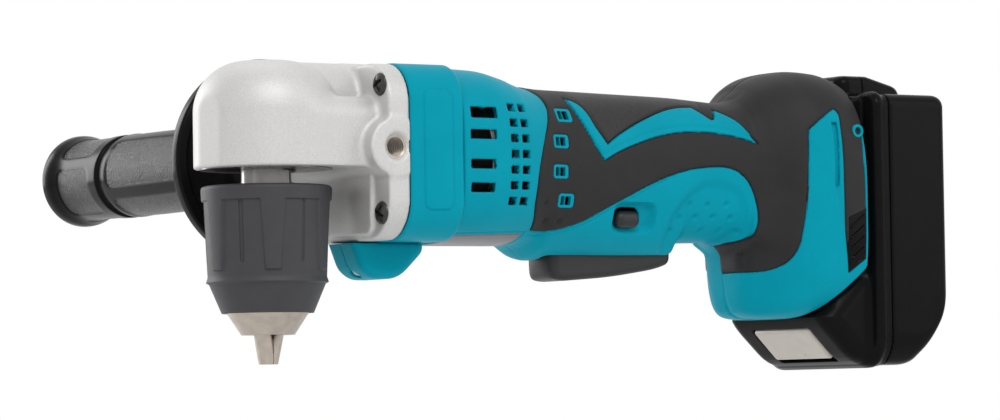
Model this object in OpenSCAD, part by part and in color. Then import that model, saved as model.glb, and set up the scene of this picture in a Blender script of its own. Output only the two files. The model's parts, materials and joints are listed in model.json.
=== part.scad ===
// Cordless right angle drill: spindle axis on Z with the jaw tips at the origin,
// body running along +X to the battery pack, side handle along +Y.

/* [Chuck] */
// Length of jaw standing out of the nose
jaw_out = 10.7; // [8:0.1:14]
// Height of the steel nose cone
nose_h = 7.9; // [6:0.1:10]
// Radius of the nose at its tip
nose_tip_r = 9.75; // [9:0.05:11]
// Radius of the nose at its root
nose_root_r = 14.9; // [13.5:0.1:15.5]
// Length of the outer sleeve
sleeve_h = 46.4; // [43:0.1:50]
// Radius of the sleeve at its top rim
sleeve_top_r = 24; // [23.4:0.1:26]
// Radius of the sleeve above its chamfer
sleeve_low_r = 22; // [21.8:0.1:23]
// Radius of the sleeve at its lower edge
sleeve_end_r = 16.8; // [16.4:0.1:18]
// Height of the sleeve's lower chamfer
sleeve_chamfer_h = 10.9; // [9:0.1:12]
// Number of gripping flutes round the sleeve
flute_count = 6; // [4:1:8]
// Radius of one jaw rod
jaw_r = 3.3; // [2.8:0.1:3.6]
// Lean of the jaws from the spindle axis
jaw_lean = 15.5; // [14:0.5:16]
// Travel of a jaw along its bore
jaw_travel = 18; // [10:0.5:18]

/* [Head] */
// Radius of the gear head about the spindle
head_r = 26.4; // [25.5:0.1:30]
// Height of the gear head
head_h = 38.2; // [37:0.1:44]
// Rounding radius of the head's dome
dome_r = 19; // [12:0.5:21]
// Gap between the sleeve and the head
head_gap = 7.4; // [6.5:0.1:12]
// Radius of the bevel shaft ridge on top of the neck
ridge_r = 15; // [14:0.5:17]
// Wall of the gear housing
casting_wall = 3; // [2.4:0.1:3.4]
// Radius of the tapped hole for the side handle
socket_r = 3.4; // [3:0.1:4.2]
// Depth of the tapped hole for the side handle
socket_depth = 14; // [10:1:16]

/* [Body] */
// Height of the motor axis over the jaw tips
axis_z = 77; // [76:0.5:78]
// Distance from the spindle to the flange's rear face
flange_x = 40.4; // [40:0.2:44]
// Thickness of the flange
flange_t = 8.4; // [7:0.2:10]
// Half height of the flange
flange_hh = 32.3; // [32:0.1:34]
// Half width of the flange
flange_hw = 34.3; // [34:0.1:35.5]
// Corner radius of the flange
flange_corner_r = 15; // [10:0.5:16]
// Length of the gearbox cover behind the flange
cover_len = 23.1; // [22:0.1:26]
// Length of the main housing behind the cover
body_len = 184.5; // [180:0.5:200]
// Half height of the motor housing
body_hh = 33; // [32.5:0.1:35]
// Half width of the motor housing
body_hw = 35.5; // [35:0.1:37]
// Wall of the moulded housing
wall = 3.2; // [2.8:0.1:3.4]
// Thickness of the moulded-on rubber
rubber_t = 1.6; // [1.2:0.1:1.8]

/* [Side handle] */
// Radius of the grip tube
grip_r = 16.6; // [15:0.1:19]
// Radius of the guard disc
guard_r = 38.5; // [34:0.5:42]
// Distance from the spindle plane to the guard disc
guard_y = 64; // [58:1:72]
// Length from the guard disc to the end flange
grip_len = 148; // [120:1:160]

/* [Battery] */
// Half width of the battery pack
pack_hw = 37.5; // [37:0.1:39]
// Height of the battery pack's main case
pack_h = 105.6; // [104:0.2:112]
// Depth of the battery pack's main case
pack_t = 38; // [37.8:0.2:42]
// Corner radius of the battery pack
pack_corner_r = 7; // [4:0.5:8]

/* [Hidden] */
// Facets of a full round
$fn = 48;
// Radial play of a running fit, also the seam between fixed pieces
fit = 0.05;
// Gap round a round piece held by moulded ribs
seat_gap = 0.2;
// Free space between pieces that move past each other
play = 0.4;
// Length by which a cut runs past the face it opens
over = 1;
// Thickness of a lofted section's slab
slab = 0.02;
// Points round one lofted section
ring_points = 22;
// Straight steps in a quarter of a rounded outline
corner_steps = 6;
// Facets of a small post or hole inside the housing
post_facets = 16;
// A quarter of a turn
quarter = 90;

// Chuck stack
sleeve_z = jaw_out + nose_h;
sleeve_top_z = sleeve_z + sleeve_h;
chamfer_z = sleeve_z + sleeve_chamfer_h;
sleeve_wall = 2.1;
chuck_r = sleeve_low_r - sleeve_wall - play;
chuck_recess = 2;
chuck_top_z = sleeve_top_z - chuck_recess;
lip_h = 1.5;
rim_round = 1.6;
jaw_tip_r = 3.5;
jaw_nose_r = 5.7;
jaw_start_r = 1;
jaw_len = 31;
jaw_rise = jaw_travel * cos(jaw_lean);
jaw_wedge = 60;
jaw_slit = 0.12;
jaw_angles = [90, 210, 330];
nut_z_share = 0.4;
nut_h = 6;
nut_z = sleeve_z + nut_z_share * sleeve_h;
nut_r = chuck_r - play;
chuck_core_r = jaw_path(nut_z) - play;
bit_bore_r = 5;
flute_w_share = 0.6;
flute_depth_share = 0.93;
flute_low_share = 0.38;
flute_high_share = 0.9;
slot_w = 1.3;
slot_depth = 1.2;

// Spindle and bevel pair
head_z = sleeve_top_z + head_gap;
head_top_z = head_z + head_h;
collar_r = 9.2;
collar_flat_share = 0.82;
seat_r = 7.5;
hub_seat_r = 6;
neck_r = 5.5;
top_seat_r = 4;
spur_module = 0.8;
spur_teeth = 27;
sun_teeth = 9;
shaft_offset = spur_module * (spur_teeth + sun_teeth) / 2;
shaft_z = axis_z + shaft_offset;
spur_root_share = 1.25;
spur_tip_share = 0.85;
spur_tooth_shares = [0.3, 0.1];
sun_root_share = 1.2;
sun_tip_share = 0.9;
sun_tooth_shares = [0.24, 0.09];
bevel_module = 1.15;
gear_teeth = 31;
pinion_teeth = 11;
gear_pitch_r = bevel_module * gear_teeth / 2;
pinion_pitch_r = bevel_module * pinion_teeth / 2;
cone_len = sqrt(gear_pitch_r * gear_pitch_r + pinion_pitch_r * pinion_pitch_r);
gear_cone = atan(gear_pitch_r / pinion_pitch_r);
pinion_cone = atan(pinion_pitch_r / gear_pitch_r);
face_share = 0.7;
bevel_tip_share = 0.9;
bevel_root_share = 1.3;
tip_lift = atan(bevel_tip_share * bevel_module / cone_len);
root_drop = atan(bevel_root_share * bevel_module / cone_len);
root_sink = 1.2;
gear_root_share = 0.3;
gear_tip_share = 0.09;
pinion_root_share = 0.26;
pinion_tip_share = 0.08;
gear_back_share = 2.6;
gear_back_z = shaft_z - pinion_pitch_r - gear_back_share * bevel_module;
gear_hub_r = 9;

// Bearings and their carriers
low_bearing_r = 16;
low_bearing_w = 8;
top_bearing_r = 11;
top_bearing_w = 7;
shaft_bearing_r = 11;
shaft_bearing_w = 7;
small_bearing_r = 6.5;
small_bearing_w = 5;
retainer_lip_r_share = 0.925;
retainer_t = 1.5;
cavity_r = head_r - casting_wall - over;
low_bearing_z = head_z + fit;
retainer_top_z = low_bearing_z + low_bearing_w;
top_bearing_z = head_top_z - casting_wall - top_bearing_w - over;
cavity_top_z = top_bearing_z - over;

// Gear housing
flange_front_x = flange_x - flange_t;
socket_rise = 1.2;
socket_z = axis_z + socket_rise;
socket_back = 5.4;
socket_x = flange_x - socket_back;
boss_r = 12.5;
neck_hw_share = 0.83;
neck_shoulder_share = 0.5;
neck_roof_share = 0.68;
neck_roof_hw_share = 0.55;
chin_t = 4.5;
chin_x = flange_front_x - chin_t;
chin_hw_share = 0.64;
chin_low_share = 0.9;
flange_screw_share = 0.81;
flange_screw_z_share = 0.725;
flange_screw_r = 2;
flange_screw_head_r = 3.7;
flange_screw_head_h = 2.6;
flange_screw_len = 22;
head_taper_share = 0.8;
driver_w_share = 0.3;
driver_len_share = 1.1;
driver_depth = 1.2;
screw_lug_r = 6.2;
pocket_hw = 15;
pocket_depth = 4.4;
shaft_bearing_x = flange_front_x - shaft_bearing_w;
pinion_tunnel_r = 8.6;

// Gearbox cover
cover_x = flange_x + fit;
cover_end_x = flange_x + cover_len;
cover_step_y = 0.9;
cover_step_z = 0.3;
cover_hw = flange_hw + cover_step_y;
cover_hh = flange_hh + cover_step_z;
cover_wall = 3.4;
plate_back = 9.5;
plate_x = cover_end_x - plate_back;
plate_t = 6;
spur_gap = 3;
spur_x = flange_x + spur_gap;
spur_w = 6.5;
lamp_hw = 10.5;
lamp_side_shares = [
    [-0.42, -1], [-0.25, -1.3], [-0.04, -1.41], [0.46, -1.4], [0.92, -1.1], [0.92, -1]
];
lamp_pocket_shares = [[-0.2565, -1.353], [-0.1095, -1.432], [0.0565, -1.271], [-0.0905, -1.192]];
lens_side_shares = [[-0.215, -1.318], [-0.075, -1.393], [-0.019, -1.339], [-0.159, -1.264]];
lens_hw_share = 0.6;
board_side_shares = [[-0.155, -1.26], [-0.015, -1.335], [0.011, -1.31], [-0.129, -1.235]];
lamp_drop = 0.3;

// Moulded housing: share of length, top, bottom, half width, squareness
body_x = cover_end_x + fit;
grip_section_shares = [
    [0, 0.985, 1.0, 0.994, 3.2], [0.089, 0.975, 1.0, 0.986, 2.9],
    [0.154, 0.915, 1.0, 0.95, 2.6], [0.187, 0.86, 1.0, 0.905, 2.5],
    [0.22, 0.81, 1.0, 0.85, 2.5], [0.263, 0.785, 1.01, 0.79, 2.5],
    [0.36, 0.772, 1.02, 0.71, 2.5], [0.47, 0.757, 1.02, 0.66, 2.5],
    [0.58, 0.742, 1.01, 0.635, 2.5], [0.686, 0.705, 0.99, 0.625, 2.5],
    [0.8, 0.69, 0.95, 0.64, 2.5]
];
skirt_end_share = 0.994;
skirt_section_shares = [
    [0.765, 0.6, 1.66, 0.45, 3.2], [0.784, 0.8, 1.78, 0.58, 3],
    [0.815, 0.95, 1.83, 0.75, 2.9], [0.859, 1.045, 1.85, 0.94, 2.9],
    [0.905, 1.085, 1.85, 1.05, 2.9], [0.95, 1.07, 1.85, 1.079, 2.8],
    [skirt_end_share, 1.0, 1.85, 1.079, 2.7]
];
skirt_end_x = body_x + skirt_end_share * body_len;
// Outline of the rubber on the side, as shares of body length and half height
rubber_shares = [
    [0.176, 1.3], [0.214, 0.62], [0.221, 0.38], [0.21, 0.04], [0.192, -0.3], [0.179, -0.64],
    [0.171, -0.87], [0.22, -0.9], [0.268, -0.8], [0.353, -0.6], [0.43, -0.42], [0.478, -0.32],
    [0.55, -0.19], [0.615, -0.12], [0.675, -0.11], [0.72, -0.16], [0.749, -0.28], [0.767, -0.42],
    [0.77, -0.62], [0.742, -0.98], [0.74, -1.32], [0.79, -1.29], [0.835, -1.1],
    [0.858, -0.5], [0.866, 0.42], [0.885, 0.58], [0.915, 0.65], [0.934, 0.6],
    [0.934, -2], [1.05, -2], [1.05, 1.3]
];
// Outline of the bare V left open in the rubber, in the same shares
flash_shares = [
    [0.282, 0.66], [0.34, 0.3], [0.371, 0.12], [0.43, 0.32], [0.5, 0.47], [0.56, 0.52],
    [0.61, 0.5], [0.641, 0.39], [0.652, 0.47], [0.71, 0.36], [0.752, 0.14], [0.71, 0.21],
    [0.62, 0.24], [0.53, 0.22], [0.45, 0.12], [0.369, -0.06], [0.32, 0.24]
];
wide_slot_row_shares = [0.42, 0.16, -0.19, -0.455];
wide_slot_x_share = 0.016;
wide_slot_len = 12;
wide_slot_h = 3.6;
small_slot_rows = 7;
small_slot_top_share = 0.55;
small_slot_pitch = 6;
small_slot_x_share = 0.106;
small_slot_len = 4.2;
small_slot_gap = 1;
small_slot_h = 3.2;
frame_slot_row_shares = [0.38, 0.09, -0.23, -0.55];
frame_slot_x_share = 0.238;
frame_slot_len = 8;
frame_slot_h = 3.6;
frame_slot_rim = 1.2;
slot_inner_share = 0.55;
slot_inner_y = slot_inner_share * body_hw;
rail_hw = 11.4;
rail_side_shares = [
    [0.25, -0.98], [0.266, -1.13], [0.605, -1.13], [0.64, -0.95], [0.61, -0.8], [0.266, -0.8]
];
bay_low_shares = [0.279, -1.4];
bay_high_shares = [0.606, -0.58];
bay_x = side_point(bay_low_shares)[0];
bay_end_x = side_point(bay_high_shares)[0];
bay_hw = 9.3;
bay_top_z = side_point(bay_high_shares)[1];
bay_low_z = side_point(bay_low_shares)[1];

// Trigger and reversing lever
trigger_hw = bay_hw - play;
trigger_pin_shares = [0.585, -1];
trigger_pin_x = side_point(trigger_pin_shares)[0];
trigger_pin_z = side_point(trigger_pin_shares)[1];
trigger_pin_r = 1.5;
trigger_ear_r = 3.2;
trigger_side_shares = [
    [0.286, -0.95], [0.286, -1.16], [0.298, -1.37], [0.325, -1.41], [0.449, -1.36],
    [0.563, -1.267], [0.598, -1.2], [0.598, -1.06], [0.5, -0.99]
];
lever_shares = [0.417, -0.81];
lever_x = side_point(lever_shares)[0];
lever_z = side_point(lever_shares)[1];
lever_len = 11;
lever_h = 6.6;
lever_hw_share = 0.606;
lever_hw = lever_hw_share * body_hw;
lever_recess_grow = 2.6;

// Motor
can_w_share = 0.606;
can_h_share = 0.652;
can_r = min(can_w_share * body_hw, can_h_share * body_hh);
can_x_share = 0.115;
can_x = body_x + can_x_share * body_len;
can_len = 40;
can_t = 2;
armature_r_share = 0.72;
armature_slots = 12;
armature_slot_w = 2;
armature_slot_share = 0.7;
motor_shaft_r = 2.5;
sun_shaft_r = 0.5;
fan_gap = 2;
fan_x = body_x + fan_gap;
fan_r_share = 1.21;
fan_r = fan_r_share * can_r;
fan_w = 12;
fan_blades = 9;
fan_blade_t = 1.6;
fan_plate_t = 1.8;
fan_hub_r = 7;
commutator_r = 8;
commutator_len = 11;
brush_w = 6;
tail_x = can_x + can_len;
tail_t = 4;
rib_t = 3;

// Switch and terminals
switch_shares = [0.41, -0.42];
switch_x = side_point(switch_shares)[0];
switch_len = 34;
switch_hw = 11;
switch_z = side_point(switch_shares)[1];
switch_h = 21;
block_hw_share = 0.563;
block_hw = block_hw_share * body_hw;
block_z_share = -0.3;
block_h_share = 1.03;
block_h = block_h_share * body_hh;
blade_t = 1;
blade_w = 6;
blade_h_share = 0.545;
blade_h = blade_h_share * body_hh;
blade_y_share = 0.366;
blade_y = blade_y_share * body_hw;

// Housing screws, as shares of body length and half height
screw_spot_shares = [[0.42, 0.6], [0.64, 0.4], [0.712, -0.62], [0.84, 0.8], [0.83, -1.5]];
screw_r = 1.5;
screw_head_r = 3.2;
screw_head_h = 2.2;
boss_wall = 2.2;
screw_reach = 9;
screw_depth_shares = [0.36, 0.42, 0.45, 0.49, 0.6];

// Battery mount and pack
channel_depth = 13;
channel_x = skirt_end_x - channel_depth;
channel_hw_share = 0.845;
channel_hw = channel_hw_share * body_hw;
channel_top_share = 0.8;
channel_top_z = axis_z + channel_top_share * body_hh;
rail_lip = 3.4;
rail_lip_t = 3.2;
rail_lip_depth = 4.6;
rail_lip_x = skirt_end_x - rail_lip_depth;
skirt_cut_shares = [
    [0.875, -1.9], [0.891, -1.79], [0.999, -1.22], [1.1, -1.22], [1.1, -2.2], [0.875, -2.2]
];
pack_low_share = -2.409;
chin_side_shares = [
    [0.893, -1.83], [1.0, -1.24], [1.035, -1.24], [1.035, pack_low_share], [0.993, pack_low_share],
    [0.912, -1.96]
];
strap_hole_shares = [0.977, 0.34];
strap_hole_x = side_point(strap_hole_shares)[0];
strap_hole_z = side_point(strap_hole_shares)[1];
strap_hole_r = 2.2;
pack_low_z = axis_z + pack_low_share * body_hh;
pack_gap = 2.2;
pack_x = skirt_end_x + pack_gap;
pack_lip = 5.6;
pack_split_x = pack_x + pack_lip;
pack_end_x = pack_x + pack_t;
pack_wall = 2;
pack_heel = 15;
pack_top_z = pack_low_z + pack_h;
pack_chin_hw_share = 0.76;
pack_chin_hw = pack_chin_hw_share * pack_hw;
cell_r = 8.4;
cell_len = 64;
cell_pitch = 17.6;
cells_high = floor((pack_h - 2 * pack_wall) / cell_pitch);
cell_lift = 5;
knob_hw = 18;
knob_t = 2.6;
knob_len = 16;
knob_travel = 2.5;
knob_shift = 2;
bump_hw_share = 0.66;
bump_hw = bump_hw_share * pack_hw;
bump_len_share = 0.52;
bump_len = bump_len_share * pack_t;
bump_h = 8.4;

// Side handle
handle_bolt_r = socket_r - fit;
handle_bolt_gap = 2;
handle_bolt_reach = socket_depth - handle_bolt_gap;
handle_bolt_back = 60;
grip_core_share = 0.62;
grip_core_r = grip_core_share * grip_r;
hub_r = 13;
spigot_r = flange_x - socket_x - play;
guard_t = 5;
grip_end_lip = 1.5;
grip_end_r = grip_r + grip_end_lip;
grip_waist_share = 0.95;
grip_waist_y_share = 0.2;
groove_share = 0.64;
groove_w = 5;
groove_depth = 1.2;
end_t = 5;
grip_end_y = guard_y + grip_len;

// Which node is drawn

// Outer edge of a jaw's path at a height over the tips
function jaw_path(z) = jaw_start_r + z * tan(jaw_lean) + jaw_r / cos(jaw_lean);
// A place on the housing's side from shares of its length and half height
function side_point(s) = [body_x + s[0] * body_len, axis_z + s[1] * body_hh];
// A place on the gearbox cover's side from shares of its length and half height
function cover_point(s) = [flange_x + s[0] * cover_len, axis_z + s[1] * cover_hh];
// Sign that keeps the sign of a number
function side_sign(v) = v < 0 ? -1 : 1;
// Points round a rounded rectangle
function rounded_outline(hw, hh, r) = [
    for (c = [[1, 1, 0], [-1, 1, 1], [-1, -1, 2], [1, -1, 3]], k = [0:corner_steps])
        [c[0] * (hw - r) + r * cos(quarter * (c[2] + k / corner_steps)),
         c[1] * (hh - r) + r * sin(quarter * (c[2] + k / corner_steps))]
];
// Points of one straight-sided gear outline
function gear_outline(teeth, root_r, tip_r, root_share, tip_share) = [
    for (i = [0:teeth - 1], k = [-1, 1], j = [0, 1])
        let (high = k < 0 ? j : 1 - j,
             a = 360 / teeth * (i + k * (high == 1 ? tip_share : root_share)),
             r = high == 1 ? tip_r : root_r)
        [r * cos(a), r * sin(a)]
];
// A point at a distance from the cone tip, a cone angle and a turn about the axis
function cone_point(d, cone, turn) = [d * sin(cone) * cos(turn), d * sin(cone) * sin(turn), d * cos(cone)];
// The eight corners of one bevel tooth
function bevel_tooth(teeth, i, cone, root_share, tip_share) = [
    for (d = [cone_len, cone_len * face_share], c = [0, 1], k = [-1, 1])
        cone_point(d, c == 1 ? cone + tip_lift : cone - root_drop - root_sink,
            360 / teeth * (i + k * (c == 1 ? tip_share : root_share)))
];
// Points round one section of the housing
function section_ring(s, inset) = [
    for (k = [0:ring_points - 1])
        let (a = 360 * k / ring_points,
             top = axis_z + s[1] * body_hh - inset,
             low = axis_z - s[2] * body_hh + inset,
             hw = s[3] * body_hw - inset,
             c = cos(a),
             n = sin(a))
        [hw * side_sign(c) * pow(abs(c), 2 / s[4]),
         (top + low) / 2 + (top - low) / 2 * side_sign(n) * pow(abs(n), 2 / s[4])]
];

// Stands a flat shape on the YZ plane, thickness along +X
module along_x(x, len) {
    translate([x, 0, 0])
        rotate([90, 0, 90])
            linear_extrude(height = len)
                children();
}
// Stands a flat XZ shape up, thickness centred across Y
module across_y(hw) {
    rotate([90, 0, 0])
        linear_extrude(height = 2 * hw, center = true)
            children();
}
// A round bar along +X
module bar_x(x, y, z, r, len) {
    translate([x, y, z])
        rotate([0, 90, 0])
            cylinder(r = r, h = len);
}
// A round bar along +Y
module bar_y(x, y, z, r, len) {
    translate([x, y, z])
        rotate([-90, 0, 0])
            cylinder(r = r, h = len);
}
// A box from two corners
module block(a, b) {
    translate(a)
        cube(b - a);
}
// One ball bearing with a recessed shield on each face, along +Z
module ring_bearing(inner_r, outer_r, w) {
    race = (outer_r - inner_r) / 4;
    shield = w / 10;
    rotate_extrude()
        polygon([
            [inner_r, 0], [inner_r + race, 0], [inner_r + race, shield], [outer_r - race, shield],
            [outer_r - race, 0], [outer_r, 0], [outer_r, w], [outer_r - race, w],
            [outer_r - race, w - shield], [inner_r + race, w - shield], [inner_r + race, w], [inner_r, w]
        ]);
}
// A chain of hulls through a row of sections
module loft(sections, inset, lead) {
    for (i = [0:len(sections) - 2])
        hull() {
            along_x(body_x + sections[i][0] * body_len + (i == 0 ? lead : 0), slab)
                polygon(section_ring(sections[i], inset));
            along_x(body_x + sections[i + 1][0] * body_len, slab)
                polygon(section_ring(sections[i + 1], inset));
        }
}
// The housing's full outer form, drawn in by an inset
module body_form(inset) {
    loft(grip_section_shares, inset, 0);
    loft(skirt_section_shares, inset, inset > 0 ? inset / 2 : 0);
}
// The lower rail that carries the trigger
module trigger_rail() {
    across_y(rail_hw)
        polygon([for (s = rail_side_shares) side_point(s)]);
}
// The region of the side that is covered by rubber
module rubber_region(grow) {
    across_y(2 * body_hw)
        offset(delta = grow)
            difference() {
                polygon([for (s = rubber_shares) side_point(s)]);
                polygon([for (s = flash_shares) side_point(s)]);
                for (row = frame_slot_row_shares)
                    translate(side_point([frame_slot_x_share, row]) - [frame_slot_rim, frame_slot_rim])
                        square([frame_slot_len, frame_slot_h] + 2 * [frame_slot_rim, frame_slot_rim]);
            }
}
// A pair of slots through both sides of the housing
module side_slot(share, row, shift, len, h) {
    p = side_point([share, row]);
    for (s = [-1, 1])
        translate([p[0] + shift, s > 0 ? slot_inner_y : -2 * body_hw, p[1]])
            cube([len, 2 * body_hw - slot_inner_y, h]);
}
// All the cooling slots
module cooling_slots() {
    for (row = wide_slot_row_shares)
        side_slot(wide_slot_x_share, row, 0, wide_slot_len, wide_slot_h);
    for (i = [0:small_slot_rows - 1], k = [0, 1])
        side_slot(small_slot_x_share, small_slot_top_share - i * small_slot_pitch / body_hh,
            k * (small_slot_len + small_slot_gap), small_slot_len, small_slot_h);
    for (row = frame_slot_row_shares)
        side_slot(frame_slot_x_share, row, 0, frame_slot_len, frame_slot_h);
}
// The half space on one side of the parting plane
module half_space(s) {
    translate([0, s > 0 ? 0 : -body_len, -body_len])
        cube([2 * body_len, body_len, 2 * body_len]);
}
// The opening for the battery and the terminals, with the two rail lips left standing
module pack_channel() {
    difference() {
        block([channel_x, -channel_hw, -body_hh], [skirt_end_x + over, channel_hw, channel_top_z]);
        for (s = [-1, 1])
            translate([rail_lip_x, s > 0 ? channel_hw - rail_lip : -channel_hw, -body_hh])
                cube([rail_lip_t, rail_lip, channel_top_z + body_hh]);
    }
}
// The recess and bore of the reversing lever
module lever_bay(grow) {
    block([lever_x - grow, -body_hw, lever_z - grow],
        [lever_x + lever_len + grow, body_hw, lever_z + lever_h + grow]);
}
// Cross walls inside the housing that hold the motor, the switch and the motor's tail
module inner_ribs() {
    difference() {
        intersection() {
            body_form(wall - over);
            union() {
                for (x = [can_x + rib_t, tail_x - 2 * rib_t])
                    block([x, -body_hw, axis_z - body_hh], [x + rib_t, body_hw, axis_z + body_hh]);
                for (x = [switch_x + rib_t, switch_x + switch_len - 2 * rib_t])
                    block([x, -body_hw, switch_z - rib_t], [x + rib_t, body_hw, axis_z + body_hh]);
            }
        }
        bar_x(body_x, 0, axis_z, can_r + seat_gap, body_len);
        block([switch_x - fit, -switch_hw - fit, switch_z - fit],
            [switch_x + switch_len + fit, switch_hw + fit, switch_z + switch_h + fit]);
    }
}
// Posts for the housing screws
module screw_posts(r, from_y, to_y) {
    for (s = screw_spot_shares)
        bar_y(side_point(s)[0], from_y, side_point(s)[1], r, to_y - from_y, $fn = post_facets);
}
// The seats of the screw heads, sunk from the right side
module screw_seats() {
    for (i = [0:len(screw_spot_shares) - 1])
        bar_y(side_point(screw_spot_shares[i])[0], screw_depth_shares[i] * body_hw - screw_head_h,
            side_point(screw_spot_shares[i])[1], screw_head_r + play, 2 * body_hw, $fn = post_facets);
}
// Both housing halves before they are parted
module housing_shell() {
    difference() {
        union() {
            difference() {
                union() {
                    difference() {
                        body_form(0);
                        rubber_region(0);
                    }
                    body_form(rubber_t + fit);
                    trigger_rail();
                }
                body_form(wall);
            }
            inner_ribs();
            intersection() {
                body_form(wall - over);
                screw_posts(screw_r + boss_wall, -body_hw, body_hw);
            }
            intersection() {
                body_form(wall - over);
                block([channel_x - wall, -body_hw, -body_hh], [skirt_end_x, body_hw, axis_z + 2 * body_hh]);
            }
        }
        pack_channel();
        screw_posts(screw_r + seat_gap, -screw_reach, body_hw);
        screw_seats();
        cooling_slots();
        block([bay_x, -bay_hw, bay_low_z], [bay_end_x, bay_hw, bay_top_z]);
        lever_bay(play);
        across_y(2 * body_hw)
            polygon([for (s = skirt_cut_shares) side_point(s)]);
        for (s = [-1, 1])
            bar_y(strap_hole_x, s > 0 ? channel_hw : -2 * body_hw, strap_hole_z, strap_hole_r,
                2 * body_hw - channel_hw, $fn = post_facets);
        block([channel_x - wall - over, -block_hw - fit, axis_z + block_z_share * body_hh - fit],
            [channel_x + over, block_hw + fit, axis_z + block_z_share * body_hh + block_h + fit]);
        bar_y(trigger_pin_x, -rail_hw + over, trigger_pin_z, trigger_pin_r + seat_gap / 2,
            2 * rail_hw - 2 * over);
    }
}
// One side of the rubber cover
module rubber_shell() {
    difference() {
        body_form(0);
        body_form(rubber_t);
        rubber_region_rest();
        cooling_slots();
        screw_seats();
        lever_bay(lever_recess_grow);
        trigger_rail();
        pack_channel();
        across_y(2 * body_hw)
            polygon([for (s = skirt_cut_shares) side_point(s)]);
        for (s = [-1, 1])
            bar_y(strap_hole_x, s > 0 ? channel_hw : -2 * body_hw, strap_hole_z, strap_hole_r,
                2 * body_hw - channel_hw, $fn = post_facets);
    }
}
// Everything on the side that stays free of rubber
module rubber_region_rest() {
    difference() {
        block([0, -2 * body_hw, -2 * body_len], [2 * body_len, 2 * body_hw, 2 * body_len]);
        rubber_region(-fit);
    }
}

module gear_housing() {
    dome = [for (k = [0:corner_steps])
        [head_r - dome_r + dome_r * cos(quarter * k / corner_steps),
         head_top_z - dome_r + dome_r * sin(quarter * k / corner_steps)]];
    neck_hw = neck_hw_share * flange_hw;
    shoulder_z = head_z + neck_shoulder_share * head_h;
    roof_z = head_z + neck_roof_share * head_h;
    roof_hw = neck_roof_hw_share * flange_hw;
    chin_hw_y = chin_hw_share * flange_hw;
    chin_z = axis_z - chin_low_share * flange_hh;
    color("silver")
        difference() {
            union() {
                rotate_extrude()
                    polygon(concat([[0, head_z], [head_r, head_z]], dome, [[0, head_top_z]]));
                bar_x(0, 0, head_top_z - ridge_r, ridge_r, flange_x);
                along_x(0, flange_x)
                    polygon([
                        [-neck_hw, head_z], [neck_hw, head_z], [neck_hw, shoulder_z],
                        [roof_hw, roof_z], [-roof_hw, roof_z], [-neck_hw, shoulder_z]
                    ]);
                along_x(chin_x, flange_t)
                    polygon([[-chin_hw_y, chin_z], [chin_hw_y, chin_z], [chin_hw_y, head_z + over],
                        [-chin_hw_y, head_z + over]]);
                translate([0, 0, axis_z])
                    along_x(flange_front_x, flange_t)
                        polygon(rounded_outline(flange_hw, flange_hh, flange_corner_r));
                for (s = [-1, 1])
                    intersection() {
                        bar_y(socket_x, s > 0 ? pocket_hw : -flange_hw, socket_z, boss_r,
                            flange_hw - pocket_hw);
                        block([0, -flange_hw, 0], [flange_x, flange_hw, head_top_z]);
                    }
            }
            translate([0, 0, head_z - over])
                cylinder(r = cavity_r, h = cavity_top_z - head_z + over);
            translate([0, 0, cavity_top_z - over])
                cylinder(r = top_bearing_r + fit, h = top_bearing_w + 3 * over);
            bar_x(0, 0, shaft_z, pinion_tunnel_r, flange_x + over);
            bar_x(shaft_bearing_x - fit, 0, shaft_z, shaft_bearing_r + fit, flange_x);
            block([flange_x - pocket_depth, -pocket_hw, axis_z - flange_hh + flange_corner_r],
                [flange_x + over, pocket_hw, shaft_z]);
            for (s = [-1, 1])
                bar_y(socket_x, s > 0 ? flange_hw - socket_depth : -flange_hw - over, socket_z, socket_r,
                    socket_depth + over);
            for (y = [-1, 1], z = [-1, 1]) {
                bar_x(chin_x - flange_t, y * flange_screw_share * flange_hw,
                    axis_z + z * flange_screw_z_share * flange_hh, flange_screw_r + 2 * fit, 3 * flange_t);
                bar_x(chin_x - flange_t, y * flange_screw_share * flange_hw,
                    axis_z + z * flange_screw_z_share * flange_hh, screw_lug_r,
                    flange_front_x - chin_x + flange_t + over);
            }
        }
}

module bearing_retainer() {
    lip_r = retainer_lip_r_share * head_r;
    opening_r = collar_r + 2 * play;
    color("gray")
        rotate_extrude()
            polygon([
                [opening_r, head_z - retainer_t], [lip_r, head_z - retainer_t], [lip_r, head_z - fit],
                [cavity_r - fit, head_z - fit], [cavity_r - fit, retainer_top_z],
                [low_bearing_r + fit, retainer_top_z], [low_bearing_r + fit, low_bearing_z - fit],
                [opening_r, low_bearing_z - fit]
            ]);
}

module low_bearing() {
    color("lightgray")
        translate([0, 0, low_bearing_z])
            ring_bearing(seat_r + fit, low_bearing_r, low_bearing_w);
}

module top_bearing() {
    color("lightgray")
        translate([0, 0, top_bearing_z])
            ring_bearing(top_seat_r + fit, top_bearing_r, top_bearing_w);
}

module shaft_bearing() {
    color("lightgray")
        translate([shaft_bearing_x, 0, shaft_z])
            rotate([0, 90, 0])
                ring_bearing(top_seat_r + fit, shaft_bearing_r, shaft_bearing_w);
}

module flange_screws() {
    driver_w = driver_w_share * flange_screw_head_r;
    driver_len = driver_len_share * flange_screw_head_r;
    color("dimgray")
        for (y = [-1, 1], z = [-1, 1])
            translate([flange_front_x + over, y * flange_screw_share * flange_hw,
                axis_z + z * flange_screw_z_share * flange_hh])
                rotate([0, 90, 0])
                    difference() {
                        union() {
                            translate([0, 0, -flange_screw_head_h / 2])
                                cylinder(r = flange_screw_r, h = flange_screw_len);
                            translate([0, 0, -fit - flange_screw_head_h])
                                cylinder(r1 = head_taper_share * flange_screw_head_r,
                                    r2 = flange_screw_head_r, h = flange_screw_head_h);
                        }
                        for (t = [0, quarter])
                            rotate([0, 0, t])
                                translate([-driver_w / 2, -driver_len / 2, -flange_screw_head_h - over])
                                    cube([driver_w, driver_len, over + driver_depth]);
                    }
}

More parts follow.
